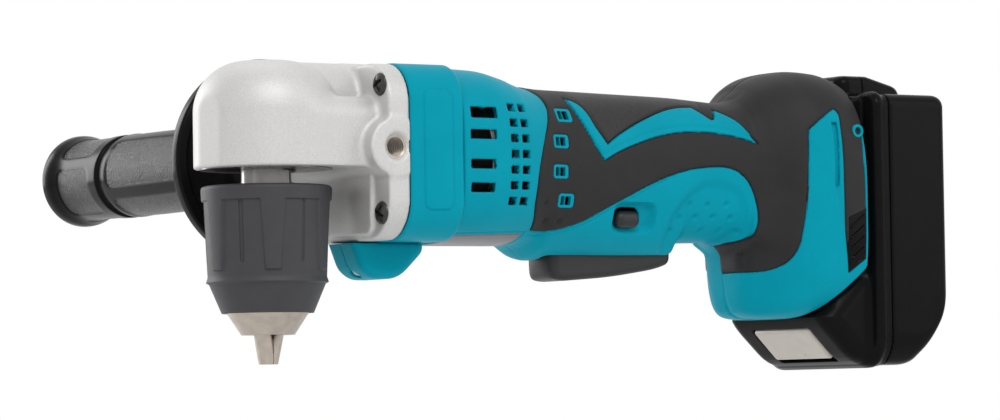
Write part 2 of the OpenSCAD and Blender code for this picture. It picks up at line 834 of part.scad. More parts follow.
module spindle() {
    flat_y = collar_flat_share * collar_r;
    stub_z = chuck_top_z - sleeve_h / 3;
    collar_z = chuck_top_z + fit;
    collar_end_z = low_bearing_z - fit;
    color("lightslategray")
        difference() {
            rotate_extrude()
                polygon([
                    [0, stub_z], [bit_bore_r - fit, stub_z], [bit_bore_r - fit, collar_z],
                    [collar_r, collar_z], [collar_r, collar_end_z], [seat_r, collar_end_z],
                    [seat_r, gear_back_z - over], [hub_seat_r, gear_back_z - over],
                    [hub_seat_r, shaft_z - pinion_pitch_r / 2], [neck_r, shaft_z - pinion_pitch_r / 2],
                    [neck_r, top_bearing_z - play], [top_seat_r, top_bearing_z - play],
                    [top_seat_r, top_bearing_z + top_bearing_w], [0, top_bearing_z + top_bearing_w]
                ]);
            for (s = [-1, 1])
                translate([-collar_r, s > 0 ? flat_y : -flat_y - collar_r, collar_z + over])
                    cube([2 * collar_r, collar_r, collar_end_z - collar_z - 3 * over]);
        }
}

module bevel_gear() {
    root_cone = gear_cone - root_drop;
    rim = cone_point(cone_len, root_cone, 0);
    inner = cone_point(cone_len * face_share, root_cone, 0);
    color("slategray") {
        translate([0, 0, shaft_z])
            mirror([0, 0, 1])
                for (i = [0:gear_teeth - 1])
                    hull()
                        polyhedron(points = bevel_tooth(gear_teeth, i + 0.5, gear_cone, gear_root_share,
                            gear_tip_share), faces = [[0, 1, 2], [3, 4, 5], [5, 6, 7]]);
        rotate_extrude()
            polygon([
                [hub_seat_r + fit, gear_back_z], [rim[0] - over, gear_back_z], [rim[0], shaft_z - rim[2]],
                [inner[0], shaft_z - inner[2]], [gear_hub_r, shaft_z - inner[2]],
                [hub_seat_r + fit, shaft_z - inner[2]]
            ]);
    }
}

module chuck_body() {
    color("darkgray")
        difference() {
            rotate_extrude()
                polygon([
                    [0, jaw_out], [nose_tip_r, jaw_out], [nose_root_r, sleeve_z],
                    [nose_root_r, sleeve_z + lip_h],
                    [chuck_r, chamfer_z], [chuck_r, chuck_top_z], [0, chuck_top_z]
                ]);
            translate([0, 0, jaw_out - over])
                cylinder(r = bit_bore_r, h = chuck_top_z - jaw_out + 2 * over);
            for (a = jaw_angles)
                jaw_rod(a, jaw_r + fit, -over, jaw_len + jaw_rise + over);
            difference() {
                translate([0, 0, nut_z - play])
                    cylinder(r = chuck_r + over, h = nut_h + 2 * play);
                translate([0, 0, nut_z - 2 * play])
                    cylinder(r = chuck_core_r, h = nut_h + 4 * play);
            }
        }
}

// A rod along one jaw's leaning path between two heights
module jaw_rod(a, r, low, high) {
    rotate([0, 0, a])
        translate([jaw_start_r, 0, 0])
            rotate([0, jaw_lean, 0])
                translate([0, 0, low / cos(jaw_lean)])
                    cylinder(r = r, h = (high - low) / cos(jaw_lean));
}

// One jaw, flat on its gripping sides and tapered at the tip
module jaw(a) {
    reach = 2 * chuck_r;
    color("silver")
        intersection() {
            jaw_rod(a, jaw_r, -jaw_out, jaw_len);
            rotate([0, 0, a])
                linear_extrude(height = jaw_out + jaw_len)
                    polygon([[jaw_slit, 0], [jaw_slit + reach, reach * tan(jaw_wedge)],
                        [jaw_slit + reach, -reach * tan(jaw_wedge)]]);
            rotate_extrude()
                polygon([[0, 0], [jaw_tip_r, 0], [jaw_nose_r, jaw_out], [chuck_r, jaw_out + jaw_r],
                    [chuck_r, jaw_len + jaw_out], [0, jaw_len + jaw_out]]);
        }
}

module jaw_1() {
    jaw(jaw_angles[0]);
}

module jaw_2() {
    jaw(jaw_angles[1]);
}

module jaw_3() {
    jaw(jaw_angles[2]);
}

module jaw_nut() {
    color("dimgray")
        rotate_extrude()
            polygon([[jaw_path(nut_z) + play, nut_z], [nut_r + play, nut_z], [nut_r + play, nut_z + nut_h],
                [jaw_path(nut_z + nut_h) + play, nut_z + nut_h]]);
}

module chuck_sleeve() {
    bore_r = chuck_r + play;
    flute_z = sleeve_z + flute_low_share * sleeve_h;
    flute_end_z = sleeve_z + flute_high_share * sleeve_h;
    flute_w = flute_w_share * 2 * PI * sleeve_low_r / flute_count;
    color("dimgray")
        difference() {
            rotate_extrude()
                polygon([
                    [nose_root_r + play, sleeve_z], [sleeve_end_r, sleeve_z], [sleeve_low_r, chamfer_z],
                    [sleeve_top_r, sleeve_top_z - rim_round], [sleeve_top_r - rim_round, sleeve_top_z],
                    [bore_r, sleeve_top_z], [bore_r, chamfer_z - play / 2],
                    [nose_root_r + play, sleeve_z + lip_h - play / 2]
                ]);
            for (i = [0:flute_count - 1])
                rotate([0, 0, 360 / flute_count * i]) {
                    translate([flute_depth_share * sleeve_top_r, -flute_w / 2, flute_z])
                        cube([sleeve_top_r, flute_w, flute_end_z - flute_z]);
                    translate([flute_depth_share * sleeve_top_r - slot_depth / 2, -slot_w / 2, flute_z])
                        cube([sleeve_top_r, slot_w, flute_end_z - flute_z]);
                }
        }
}

module bevel_pinion() {
    root_cone = pinion_cone - root_drop;
    rim = cone_point(cone_len, root_cone, 0);
    inner = cone_point(cone_len * face_share, root_cone, 0);
    color("slategray")
        translate([0, 0, shaft_z])
            rotate([0, 90, 0]) {
                for (i = [0:pinion_teeth - 1])
                    hull()
                        polyhedron(points = bevel_tooth(pinion_teeth, i, pinion_cone, pinion_root_share,
                            pinion_tip_share), faces = [[0, 1, 2], [3, 4, 5], [5, 6, 7]]);
                rotate_extrude()
                    polygon([
                        [0, inner[2]], [inner[0], inner[2]], [rim[0], rim[2]], [rim[0], rim[2] + 2 * over],
                        [hub_seat_r, shaft_bearing_x - fit], [top_seat_r, shaft_bearing_x - fit],
                        [top_seat_r, plate_x + plate_t], [0, plate_x + plate_t]
                    ]);
            }
}

module spur_gear() {
    pitch_r = spur_module * spur_teeth / 2;
    color("slategray")
        translate([0, 0, shaft_z])
            along_x(spur_x, spur_w)
                difference() {
                    rotate(quarter)
                        polygon(gear_outline(spur_teeth, pitch_r - spur_root_share * spur_module,
                            pitch_r + spur_tip_share * spur_module,
                            spur_tooth_shares[0], spur_tooth_shares[1]));
                    circle(r = top_seat_r + fit);
                }
}

module sun_pinion() {
    pitch_r = spur_module * sun_teeth / 2;
    color("slategray")
        translate([0, 0, axis_z])
            along_x(spur_x - over, spur_w + 2 * over)
                difference() {
                    rotate(quarter)
                        polygon(gear_outline(sun_teeth, pitch_r - sun_root_share * spur_module,
                            pitch_r + sun_tip_share * spur_module, sun_tooth_shares[0], sun_tooth_shares[1]));
                    circle(r = sun_shaft_r + fit);
                }
}

module gear_plate() {
    color("darkgray")
        difference() {
            translate([0, 0, axis_z])
                along_x(plate_x, plate_t)
                    polygon(rounded_outline(cover_hw - cover_wall - fit, cover_hh - cover_wall - fit,
                        flange_corner_r - cover_wall));
            for (z = [axis_z, shaft_z])
                bar_x(plate_x - over, 0, z, small_bearing_r + fit, plate_t + 2 * over);
            for (y = [-1, 1], z = [-1, 1])
                bar_x(plate_x - over, y * flange_screw_share * flange_hw,
                    axis_z + z * flange_screw_z_share * flange_hh, screw_lug_r + fit, plate_t + 2 * over);
        }
}

module plate_bearings() {
    color("lightgray") {
        translate([plate_x, 0, axis_z])
            rotate([0, 90, 0])
                ring_bearing(motor_shaft_r + fit, small_bearing_r, small_bearing_w);
        translate([plate_x, 0, shaft_z])
            rotate([0, 90, 0])
                ring_bearing(top_seat_r + fit, small_bearing_r, small_bearing_w);
    }
}

module gearbox_cover() {
    color("darkcyan")
        difference() {
            union() {
                difference() {
                    translate([0, 0, axis_z])
                        along_x(cover_x, cover_len - fit)
                            polygon(rounded_outline(cover_hw, cover_hh, flange_corner_r));
                    translate([0, 0, axis_z])
                        along_x(cover_x - over, cover_len + 2 * over)
                            polygon(rounded_outline(cover_hw - cover_wall, cover_hh - cover_wall,
                                flange_corner_r - cover_wall));
                }
                for (y = [-1, 1], z = [-1, 1])
                    intersection() {
                        bar_x(cover_x, y * flange_screw_share * flange_hw,
                            axis_z + z * flange_screw_z_share * flange_hh, screw_lug_r, cover_len - fit);
                        translate([0, 0, axis_z])
                            along_x(cover_x, cover_len - fit)
                                polygon(rounded_outline(cover_hw, cover_hh, flange_corner_r));
                    }
            }
            for (y = [-1, 1], z = [-1, 1])
                bar_x(cover_x - over, y * flange_screw_share * flange_hw,
                    axis_z + z * flange_screw_z_share * flange_hh, flange_screw_r + fit, flange_screw_len);
        }
}

module lamp_housing() {
    color("darkcyan")
        difference() {
            translate([0, 0, -lamp_drop])
                across_y(lamp_hw)
                    polygon([for (s = lamp_side_shares) cover_point(s)]);
            translate([0, 0, -lamp_drop])
                across_y(lens_hw_share * lamp_hw + fit)
                    polygon([for (s = lamp_pocket_shares) cover_point(s)]);
        }
}

module lamp_lens() {
    color("white")
        translate([0, 0, -lamp_drop])
            across_y(lens_hw_share * lamp_hw)
                polygon([for (s = lens_side_shares) cover_point(s)]);
}

module lamp_board() {
    color("green")
        translate([0, 0, -lamp_drop])
            across_y(lens_hw_share * lamp_hw)
                polygon([for (s = board_side_shares) cover_point(s)]);
}

module housing_left() {
    color("darkcyan")
        intersection() {
            housing_shell();
            half_space(-1);
        }
}

module housing_right() {
    color("darkcyan")
        intersection() {
            housing_shell();
            half_space(1);
        }
}

module rubber_left() {
    color("black")
        intersection() {
            rubber_shell();
            half_space(-1);
        }
}

module rubber_right() {
    color("black")
        intersection() {
            rubber_shell();
            half_space(1);
        }
}

module housing_screws() {
    color("dimgray")
        for (i = [0:len(screw_spot_shares) - 1]) {
            p = side_point(screw_spot_shares[i]);
            seat = screw_depth_shares[i] * body_hw - screw_head_h;
            bar_y(p[0], -screw_reach + over, p[1], screw_r, seat + screw_reach);
            bar_y(p[0], seat, p[1], screw_head_r, screw_head_h);
        }
}

module motor_can() {
    color("silver")
        difference() {
            bar_x(can_x, 0, axis_z, can_r, can_len);
            bar_x(can_x + can_t, 0, axis_z, can_r - can_t, can_len);
            bar_x(can_x - over, 0, axis_z, 2 * motor_shaft_r, can_t + 2 * over);
        }
}

module motor_tail() {
    color("dimgray")
        difference() {
            bar_x(tail_x + fit, 0, axis_z, can_r, tail_t);
            bar_x(tail_x - over, 0, axis_z, motor_shaft_r + fit, tail_t + 2 * over);
        }
}

module brushes() {
    color("black")
        for (s = [-1, 1])
            translate([tail_x - commutator_len + over, s > 0 ? commutator_r + play : -can_r + can_t + over,
                axis_z - brush_w / 2])
                cube([brush_w, can_r - can_t - over - commutator_r - play, brush_w]);
}

module armature() {
    core_r = armature_r_share * (can_r - can_t);
    core_len = can_len - commutator_len - 5 * can_t;
    color("gray")
        difference() {
            union() {
                bar_x(spur_x - over, 0, axis_z, sun_shaft_r, spur_w + 2 * over + fit);
                bar_x(spur_x + spur_w + over, 0, axis_z, motor_shaft_r,
                    tail_x + tail_t - spur_x - spur_w - over);
                bar_x(can_x + 2 * can_t, 0, axis_z, core_r, core_len);
            }
            for (i = [0:armature_slots - 1])
                translate([can_x + can_t, 0, axis_z])
                    rotate([360 / armature_slots * i, 0, 0])
                        translate([0, -armature_slot_w / 2, armature_slot_share * core_r])
                            cube([core_len + 3 * can_t, armature_slot_w, core_r]);
        }
}

module commutator() {
    color("peru")
        difference() {
            bar_x(tail_x - commutator_len, 0, axis_z, commutator_r, commutator_len - can_t);
            bar_x(tail_x - 2 * commutator_len, 0, axis_z, motor_shaft_r + fit, 3 * commutator_len);
        }
}

module fan() {
    color("ivory")
        difference() {
            union() {
                bar_x(fan_x, 0, axis_z, fan_r, fan_plate_t);
                bar_x(fan_x, 0, axis_z, fan_hub_r, fan_w);
                for (i = [0:fan_blades - 1])
                    translate([fan_x + fan_plate_t / 2, 0, axis_z])
                        rotate([360 / fan_blades * i, 0, 0])
                            translate([0, -fan_blade_t / 2, fan_hub_r - over])
                                cube([fan_w - fan_plate_t, fan_blade_t, fan_r - fan_hub_r]);
            }
            bar_x(fan_x - over, 0, axis_z, motor_shaft_r + fit, fan_w + 2 * over);
        }
}

module switch_body() {
    color("dimgray")
        block([switch_x, -switch_hw, switch_z], [switch_x + switch_len, switch_hw, switch_z + switch_h]);
}

module trigger() {
    color("black")
        difference() {
            union() {
                across_y(trigger_hw)
                    polygon([for (s = trigger_side_shares) side_point(s)]);
                bar_y(trigger_pin_x, -trigger_hw, trigger_pin_z, trigger_ear_r, 2 * trigger_hw);
            }
            bar_y(trigger_pin_x, -rail_hw, trigger_pin_z, trigger_pin_r + fit, 2 * rail_hw);
        }
}

module trigger_pin() {
    color("silver")
        bar_y(trigger_pin_x, -rail_hw + over + fit, trigger_pin_z, trigger_pin_r,
            2 * (rail_hw - over - fit));
}

module reverse_lever() {
    color("black")
        block([lever_x, -lever_hw, lever_z], [lever_x + lever_len, lever_hw, lever_z + lever_h]);
}

module terminal_block() {
    z = axis_z + block_z_share * body_hh;
    color("dimgray")
        difference() {
            block([channel_x - wall, -block_hw, z], [channel_x + over, block_hw, z + block_h]);
            for (s = [-1, 1])
                block([channel_x - 2 * wall, s * blade_y - blade_t / 2 - fit, z + over],
                    [channel_x + 2 * over, s * blade_y + blade_t / 2 + fit, z + over + blade_h + 2 * fit]);
        }
}

module terminal_blades() {
    z = axis_z + block_z_share * body_hh + over + fit;
    color("gold")
        for (s = [-1, 1])
            block([channel_x - 2 * wall, s * blade_y - blade_t / 2, z],
                [channel_x + blade_w, s * blade_y + blade_t / 2, z + blade_h]);
}

module handle_guard() {
    color("black")
        translate([socket_x, 0, socket_z])
            rotate([-90, 0, 0])
                rotate_extrude()
                    polygon([
                        [handle_bolt_r + fit, flange_hw + fit], [spigot_r, flange_hw + fit],
                        [spigot_r, cover_hw + play], [hub_r, cover_hw + play],
                        [hub_r, guard_y - 2 * guard_t],
                        [grip_r, guard_y - guard_t], [guard_r - over, guard_y - guard_t],
                        [guard_r, guard_y - guard_t + over], [guard_r, guard_y - over],
                        [guard_r - over, guard_y], [handle_bolt_r + fit, guard_y]
                    ]);
}

module handle_grip() {
    waist_r = grip_waist_share * grip_r;
    groove_y = guard_y + groove_share * grip_len;
    bolt_end = flange_hw + handle_bolt_back + fit;
    color("black")
        translate([socket_x, 0, socket_z])
            rotate([-90, 0, 0])
                rotate_extrude()
                    polygon([
                        [handle_bolt_r + fit, guard_y + fit], [grip_r, guard_y + fit],
                        [waist_r, guard_y + grip_waist_y_share * grip_len], [grip_r, groove_y - groove_w],
                        [grip_r, groove_y], [grip_r - groove_depth, groove_y],
                        [grip_r - groove_depth, groove_y + groove_w], [grip_r, groove_y + groove_w],
                        [waist_r, grip_end_y - 4 * end_t], [grip_r, grip_end_y - end_t],
                        [grip_end_r, grip_end_y - end_t + over], [grip_end_r, grip_end_y - over],
                        [grip_end_r - over, grip_end_y], [grip_core_r, grip_end_y],
                        [grip_core_r, bolt_end + end_t], [0, bolt_end + end_t], [0, bolt_end],
                        [handle_bolt_r + fit, bolt_end]
                    ]);
}

module handle_bolt() {
    color("silver")
        bar_y(socket_x, flange_hw - handle_bolt_reach, socket_z, handle_bolt_r,
            handle_bolt_reach + handle_bolt_back);
}

// The pack's whole outer block with chamfered edges and a cut heel, drawn in by an inset
module pack_block(inset) {
    hw = pack_hw - inset;
    front = pack_x + inset;
    back = pack_end_x - inset;
    low = pack_low_z + inset;
    high = pack_top_z - inset;
    edge = pack_corner_r / 2;
    heel = pack_heel - inset / 2;
    intersection() {
        across_y(hw)
            polygon([[front, low], [back - heel, low], [back, low + heel], [back, high - edge],
                [back - edge, high], [front + edge, high], [front, high - edge]]);
        translate([0, 0, low])
            linear_extrude(height = high - low)
                polygon([[front, edge - hw], [front + edge, -hw], [back - edge, -hw], [back, edge - hw],
                    [back, hw - edge], [back - edge, hw], [front + edge, hw], [front, hw - edge]]);
        translate([0, 0, (low + high) / 2])
            along_x(front, back - front)
                polygon(rounded_outline(hw, (high - low) / 2, pack_corner_r - inset));
    }
}
// Places something on the pack's front slope, local x down the slope and local z inwards
module on_slope() {
    a = side_point(chin_side_shares[5]);
    b = side_point(chin_side_shares[4]);
    translate([(a[0] + b[0]) / 2, 0, (a[1] + b[1]) / 2])
        rotate([0, atan2(a[1] - b[1], b[0] - a[0]), 0])
            children();
}
module pack_case() {
    color("dimgray")
        difference() {
            union() {
                intersection() {
                    pack_block(0);
                    block([pack_split_x + fit, -2 * pack_hw, -pack_h],
                        [2 * pack_end_x, 2 * pack_hw, 2 * pack_h]);
                }
                translate([0, 0, pack_top_z])
                    along_x(pack_split_x + fit, bump_len)
                        polygon([
                            [-bump_hw, -pack_wall], [bump_hw, -pack_wall], [bump_hw, bump_h - pack_wall],
                            [bump_hw - pack_wall, bump_h], [pack_wall - bump_hw, bump_h],
                            [-bump_hw, bump_h - pack_wall]
                        ]);
            }
            pack_block(pack_wall);
        }
}

module pack_cover() {
    neck_x = channel_x + over + play;
    neck_hw = channel_hw - play;
    neck_low_z = side_point(chin_side_shares[1])[1] - pack_wall;
    blade_low_z = axis_z + block_z_share * body_hh;
    color("black")
        difference() {
            union() {
                intersection() {
                    pack_block(0);
                    block([0, -2 * pack_hw, -pack_h], [pack_split_x, 2 * pack_hw, 2 * pack_h]);
                }
                block([neck_x, -neck_hw, neck_low_z], [pack_split_x, neck_hw, channel_top_z - play]);
                across_y(pack_chin_hw)
                    polygon([for (s = chin_side_shares) side_point(s)]);
            }
            pack_block(pack_wall);
            block([neck_x + pack_wall + blade_w, pack_wall + rail_lip - neck_hw, neck_low_z + pack_wall],
                [pack_split_x + over, neck_hw - pack_wall - rail_lip, channel_top_z - play - pack_wall]);
            for (s = [-1, 1]) {
                block([rail_lip_x - play, s > 0 ? neck_hw - rail_lip : -2 * neck_hw, -pack_h],
                    [rail_lip_x + rail_lip_t + play, s > 0 ? 2 * neck_hw : rail_lip - neck_hw, 2 * pack_h]);
                block([neck_x - over, s * blade_y - blade_t, blade_low_z],
                    [neck_x + blade_w, s * blade_y + blade_t, 2 * pack_h]);
                block([neck_x + blade_w - fit, s * blade_y - blade_w / 2 - fit, blade_low_z - fit],
                    [neck_x + blade_w + 2 * pack_wall, s * blade_y + blade_w / 2 + fit,
                     blade_low_z + blade_h + fit]);
            }
            on_slope()
                block([-knob_len / 2 - knob_shift - play, -knob_hw - play, -knob_len],
                    [knob_len / 2 - knob_shift + knob_travel + play, knob_hw + play, knob_t - over + play]);
        }
}

module pack_cells() {
    color("steelblue")
        for (c = [-1, 1], i = [0:cells_high - 1])
            bar_y(pack_x + pack_t / 2 + c * (cell_r + fit), -cell_len / 2,
                (pack_low_z + pack_top_z) / 2 + cell_lift + (i - (cells_high - 1) / 2) * cell_pitch,
                cell_r, cell_len);
}

module pack_contacts() {
    z = axis_z + block_z_share * body_hh;
    neck_x = channel_x + over + play;
    color("gold")
        for (s = [-1, 1])
            block([neck_x + blade_w + fit, s * blade_y - blade_w / 2, z],
                [neck_x + blade_w + pack_wall - fit, s * blade_y + blade_w / 2, z + blade_h]);
}

module pack_button() {
    color("wheat")
        on_slope()
            block([-knob_len / 2 - knob_shift, -knob_hw, -over],
                [knob_len / 2 - knob_shift, knob_hw, knob_t - over]);
}

gear_housing();
bearing_retainer();
low_bearing();
top_bearing();
shaft_bearing();
flange_screws();
spindle();
bevel_gear();
chuck_body();
chuck_sleeve();
jaw_nut();
jaw_1();
jaw_2();
jaw_3();
bevel_pinion();
spur_gear();
gear_plate();
plate_bearings();
gearbox_cover();
lamp_housing();
lamp_lens();
lamp_board();
housing_left();
housing_right();
rubber_left();
rubber_right();
housing_screws();
motor_can();
motor_tail();
brushes();
armature();
commutator();
fan();
sun_pinion();
switch_body();
trigger();
trigger_pin();
reverse_lever();
terminal_block();
terminal_blades();
handle_guard();
handle_grip();
handle_bolt();
pack_case();
pack_cover();
pack_cells();
pack_contacts();
pack_button();
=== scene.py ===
import json
import math

import bpy
import numpy as np
from mathutils import Matrix, Vector


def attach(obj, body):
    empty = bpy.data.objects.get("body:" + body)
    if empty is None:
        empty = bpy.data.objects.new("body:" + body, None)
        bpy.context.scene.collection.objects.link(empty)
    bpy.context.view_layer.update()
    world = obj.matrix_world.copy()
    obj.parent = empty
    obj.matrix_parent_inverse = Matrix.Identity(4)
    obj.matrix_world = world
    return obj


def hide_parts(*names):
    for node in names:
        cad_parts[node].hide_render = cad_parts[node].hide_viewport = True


# Looks of a cordless right angle drill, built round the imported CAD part.
# Lengths are millimetres in the CAD frame and turn into metres in mesh_piece().

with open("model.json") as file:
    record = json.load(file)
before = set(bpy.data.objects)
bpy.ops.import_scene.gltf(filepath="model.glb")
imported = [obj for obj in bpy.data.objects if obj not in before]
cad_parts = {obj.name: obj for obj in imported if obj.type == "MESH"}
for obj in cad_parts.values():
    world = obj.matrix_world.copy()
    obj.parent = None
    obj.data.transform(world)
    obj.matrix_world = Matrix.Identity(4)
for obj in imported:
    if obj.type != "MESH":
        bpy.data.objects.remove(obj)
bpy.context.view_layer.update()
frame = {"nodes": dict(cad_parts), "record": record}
nodes = frame["nodes"]
MM = 0.001

# Places shared by several pieces
AXIS_Z = 77.0
FLANGE_X = (32.0, 40.4)
FLANGE_HW, FLANGE_HH, FLANGE_CORNER_R = 34.3, 32.3, 15.0
SOCKET_SPOT = (35.0, 78.2)
SCREW_Y, SCREW_DZ, SCREW_MID_Z = 28.3, 23.4, 77.7
SCREW_SPOTS = [(side * SCREW_Y, SCREW_MID_Z + level * SCREW_DZ) for side in (-1, 1) for level in (-1, 1)]
SIDES = (("left", 1), ("right", -1))
SETTLE_STEPS = 3
CAD_WELD, SHEET_WELD = 0.002, 0.01


# Fields and curves: the last number given to smin, smax, rounded_box and the like is a fillet or edge radius

def smooth(t):
    """Smoothstep of t held between 0 and 1."""
    t = np.clip(t, 0.0, 1.0)
    return t * t * (3 - 2 * t)


def ramp_up(value, span):
    """Smooth climb from 0 to 1 over a span."""
    return smooth((value - span[0]) / (span[1] - span[0]))


def groove(distance, depth, width):
    """Depth of a groove at a distance from its middle line."""
    return depth * (1 - smooth(np.abs(distance) / width))


def smin(a, b, k):
    """Union of two distance fields with a fillet of about k."""
    h = np.maximum(k - np.abs(a - b), 0) / k
    return np.minimum(a, b) - h * h * k / 4


def smax(a, b, k):
    """Intersection of two distance fields with an edge rounded by about k."""
    return -smin(-a, -b, k)


def rounded_box(p, half, r):
    """Distance to a box of these half sizes about the origin; p lists coordinates, r rounds the edges."""
    q = [np.abs(c) - (h - r) for c, h in zip(p, half)]
    outside = np.sqrt(sum(np.maximum(c, 0) ** 2 for c in q))
    inside = np.minimum(np.maximum.reduce(q), 0)
    return outside + inside - r


def span_box(p, spans, r):
    """Distance to a box given by its span along each coordinate."""
    return rounded_box([c - sum(span) / 2 for c, span in zip(p, spans)], [(b - a) / 2 for a, b in spans], r)


def polygon_field(x, z, outline):
    """Signed distance to a closed outline, positive inside."""
    pts = np.asarray(outline, float)
    near = np.full(x.shape, 1e9)
    inside = np.zeros(x.shape, bool)
    for (ax, az), (bx, bz) in zip(pts, np.roll(pts, -1, axis=0)):
        ex, ez = bx - ax, bz - az
        t = np.clip(((x - ax) * ex + (z - az) * ez) / (ex * ex + ez * ez + 1e-12), 0, 1)
        near = np.minimum(near, np.hypot(x - ax - t * ex, z - az - t * ez))
        cross = (az > z) != (bz > z)
        if ez:
            inside ^= cross & (x < ax + (z - az) * ex / ez)
    return np.where(inside, near, -near)


def smooth_run(points, steps=6):
    """Points of a Catmull-Rom curve through the given points, without the last one."""
    p = np.asarray([points[0]] + list(points) + [points[-1]], float)
    out = []
    for a, b, c, d in zip(p, p[1:], p[2:], p[3:]):
        for i in range(steps):
            t = i / steps
            out.append(0.5 * (2 * b + (c - a) * t + (2 * a - 5 * b + 4 * c - d) * t * t
                              + (3 * b - a - 3 * c + d) * t ** 3))
    return out


def outline(*runs):
    """Closed outline made of smooth runs that meet in corners."""
    return np.array([p for run in runs for p in smooth_run(run)])


def soft_outline(corners, cuts, steps=6):
    """Closed outline with rounded corners; a cut says how far from its corner the curve starts."""
    points = np.asarray(corners, float)
    out = []
    for before, corner, after, cut in zip(np.roll(points, 1, 0), points, np.roll(points, -1, 0), cuts):
        edges = (before - corner, after - corner)
        start, end = (corner + edge * min(0.5, cut / np.linalg.norm(edge)) for edge in edges)
        for t in np.linspace(0, 1, steps if cut else 1):
            out.append((1 - t) ** 2 * start + 2 * t * (1 - t) * corner + t * t * end)
    return np.array(out)


def closed(profile):
    """The outline with its first point repeated at the end."""
    return np.concatenate([profile, profile[:1]])


def prism(x, y, z, shape, half, r):
    """Distance to an outline over X and Z that reaches half to either side, with edges rounded by r."""
    flat = polygon_field(x[:, :1], z[:, :1], shape) if x.ndim == 3 else polygon_field(x, z, shape)
    q = [r - flat, np.abs(y) - half + r]
    return np.hypot(*[np.maximum(c, 0) for c in q]) + np.minimum(np.maximum(*q), 0) - r


def slope_frame(x, z, spot, turn):
    """Coordinates along a slope in X and Z and out of it, about a spot; turn is its fall in degrees."""
    c, s = math.cos(math.radians(turn)), math.sin(math.radians(turn))
    dx, dz = x - spot[0], z - spot[1]
    return c * dx - s * dz, -s * dx - c * dz


def monotone(x, y, q):
    """Monotone cubic curve through the points (x, y), read at q."""
    h = np.diff(x)
    d = np.diff(y) / h
    m = np.concatenate([[d[0]], np.zeros(len(x) - 2), [d[-1]]])
    for k in range(1, len(x) - 1):
        if d[k - 1] * d[k] > 0:
            a, b = 2 * h[k] + h[k - 1], h[k] + 2 * h[k - 1]
            m[k] = (a + b) / (a / d[k - 1] + b / d[k])
    i = np.clip(np.searchsorted(x, q) - 1, 0, len(x) - 2)
    t = (q - x[i]) / h[i]
    return ((1 + 2 * t) * (1 - t) ** 2 * y[i] + t * (1 - t) ** 2 * h[i] * m[i]
            + t * t * (3 - 2 * t) * y[i + 1] + t * t * (t - 1) * h[i] * m[i + 1])


# Meshes

def mesh_piece(name, points, faces, finish, body="tool", replaces=(), sharp=40):
    """A shown piece from points in millimetres, riding on a body."""
    mesh = bpy.data.meshes.new(name)
    mesh.from_pydata((np.asarray(points) * MM).tolist(), [], [list(map(int, f)) for f in faces])
    mesh.validate()
    mesh.update()
    mesh.shade_smooth()
    mesh.set_sharp_from_angle(angle=math.radians(sharp))
    mesh.materials.append(materials[finish])
    piece = bpy.data.objects.new(name, mesh)
    bpy.context.scene.collection.objects.link(piece)
    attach(piece, body)
    if replaces:
        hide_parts(*replaces)
    return piece


def side_pieces(name, points, faces, finish, wall=0, sharp=40):
    """A mesh of the left side and its mirror image on the right."""
    for side, mirror in SIDES:
        mirrored = points * [1, mirror, 1]
        piece = mesh_piece(name + "_" + side, mirrored, faces[:, ::mirror], finish, sharp=sharp)
        if wall:
            solidify(piece, wall)


def solidify(piece, thickness):
    """Gives a sheet a wall that grows inwards."""
    wall = piece.modifiers.new("wall", "SOLIDIFY")
    wall.thickness = thickness * MM
    wall.offset = -1
    wall.use_rim = True
    wall.use_even_offset = False


def weld(piece, reach):
    """Joins corners that lie this close together."""
    piece.modifiers.new("weld", "WELD").merge_threshold = reach * MM


def mesh_step(fine):
    """Step of a mesh: the fine step as given."""
    return fine * 1.0


def surface_nets(field, low, high, step):
    """Mesh of the zero level of a field, negative inside, as points and quads."""
    axes = [np.arange(a, b + step, step) for a, b in zip(low, high)]
    grid = np.meshgrid(*axes, indexing="ij")
    f = field(*grid)
    inside = f < 0
    cells = np.array(f.shape) - 1
    corner = [(i, j, k) for i in (0, 1) for j in (0, 1) for k in (0, 1)]

    def at(values, c):
        return values[c[0]:c[0] + cells[0], c[1]:c[1] + cells[1], c[2]:c[2] + cells[2]]

    count = sum(at(inside, c).astype(np.int8) for c in corner)
    active = (count > 0) & (count < 8)
    index = np.full(cells, -1)
    index[active] = np.arange(active.sum())
    total = np.zeros((active.sum(), 3))
    hits = np.zeros(active.sum())
    for axis in range(3):
        for c in corner:
            if c[axis]:
                continue
            e = tuple(v + (1 if n == axis else 0) for n, v in enumerate(c))
            f0, f1 = at(f, c)[active], at(f, e)[active]
            cut = (f0 < 0) != (f1 < 0)
            t = np.where(cut, f0 / np.where(cut, f0 - f1, 1), 0)
            place = np.array(c) + np.outer(t, np.eye(3)[axis])
            total[cut] += place[cut]
            hits += cut
    points = np.array(low) + step * (np.argwhere(active) + total / hits[:, None])
    quads = []
    for axis in range(3):
        a, b = [n for n in range(3) if n != axis]
        first = [slice(1, -1)] * 3
        second = [slice(1, -1)] * 3
        first[axis], second[axis] = slice(0, -1), slice(1, None)
        s0, s1 = inside[tuple(first)], inside[tuple(second)]
        for change, flip in ((s0 & ~s1, axis == 1), (~s0 & s1, axis != 1)):
            base = np.argwhere(change)
            base[:, a] += 1
            base[:, b] += 1
            ring = []
            for da, db in ((-1, -1), (0, -1), (0, 0), (-1, 0)):
                cell = base.copy()
                cell[:, a] += da
                cell[:, b] += db
                ring.append(index[tuple(cell.T)])
            ring = np.stack(ring, axis=1)
            quads.append(ring[:, ::-1] if flip else ring)
    quads = np.concatenate(quads)
    for _ in range(SETTLE_STEPS):
        points -= newton_step(field, points, step)
    a, b, c = (points[quads[:, k]] - points.mean(axis=0) for k in range(3))
    return points, quads if (np.cross(b, c) * a).sum() > 0 else quads[:, ::-1]


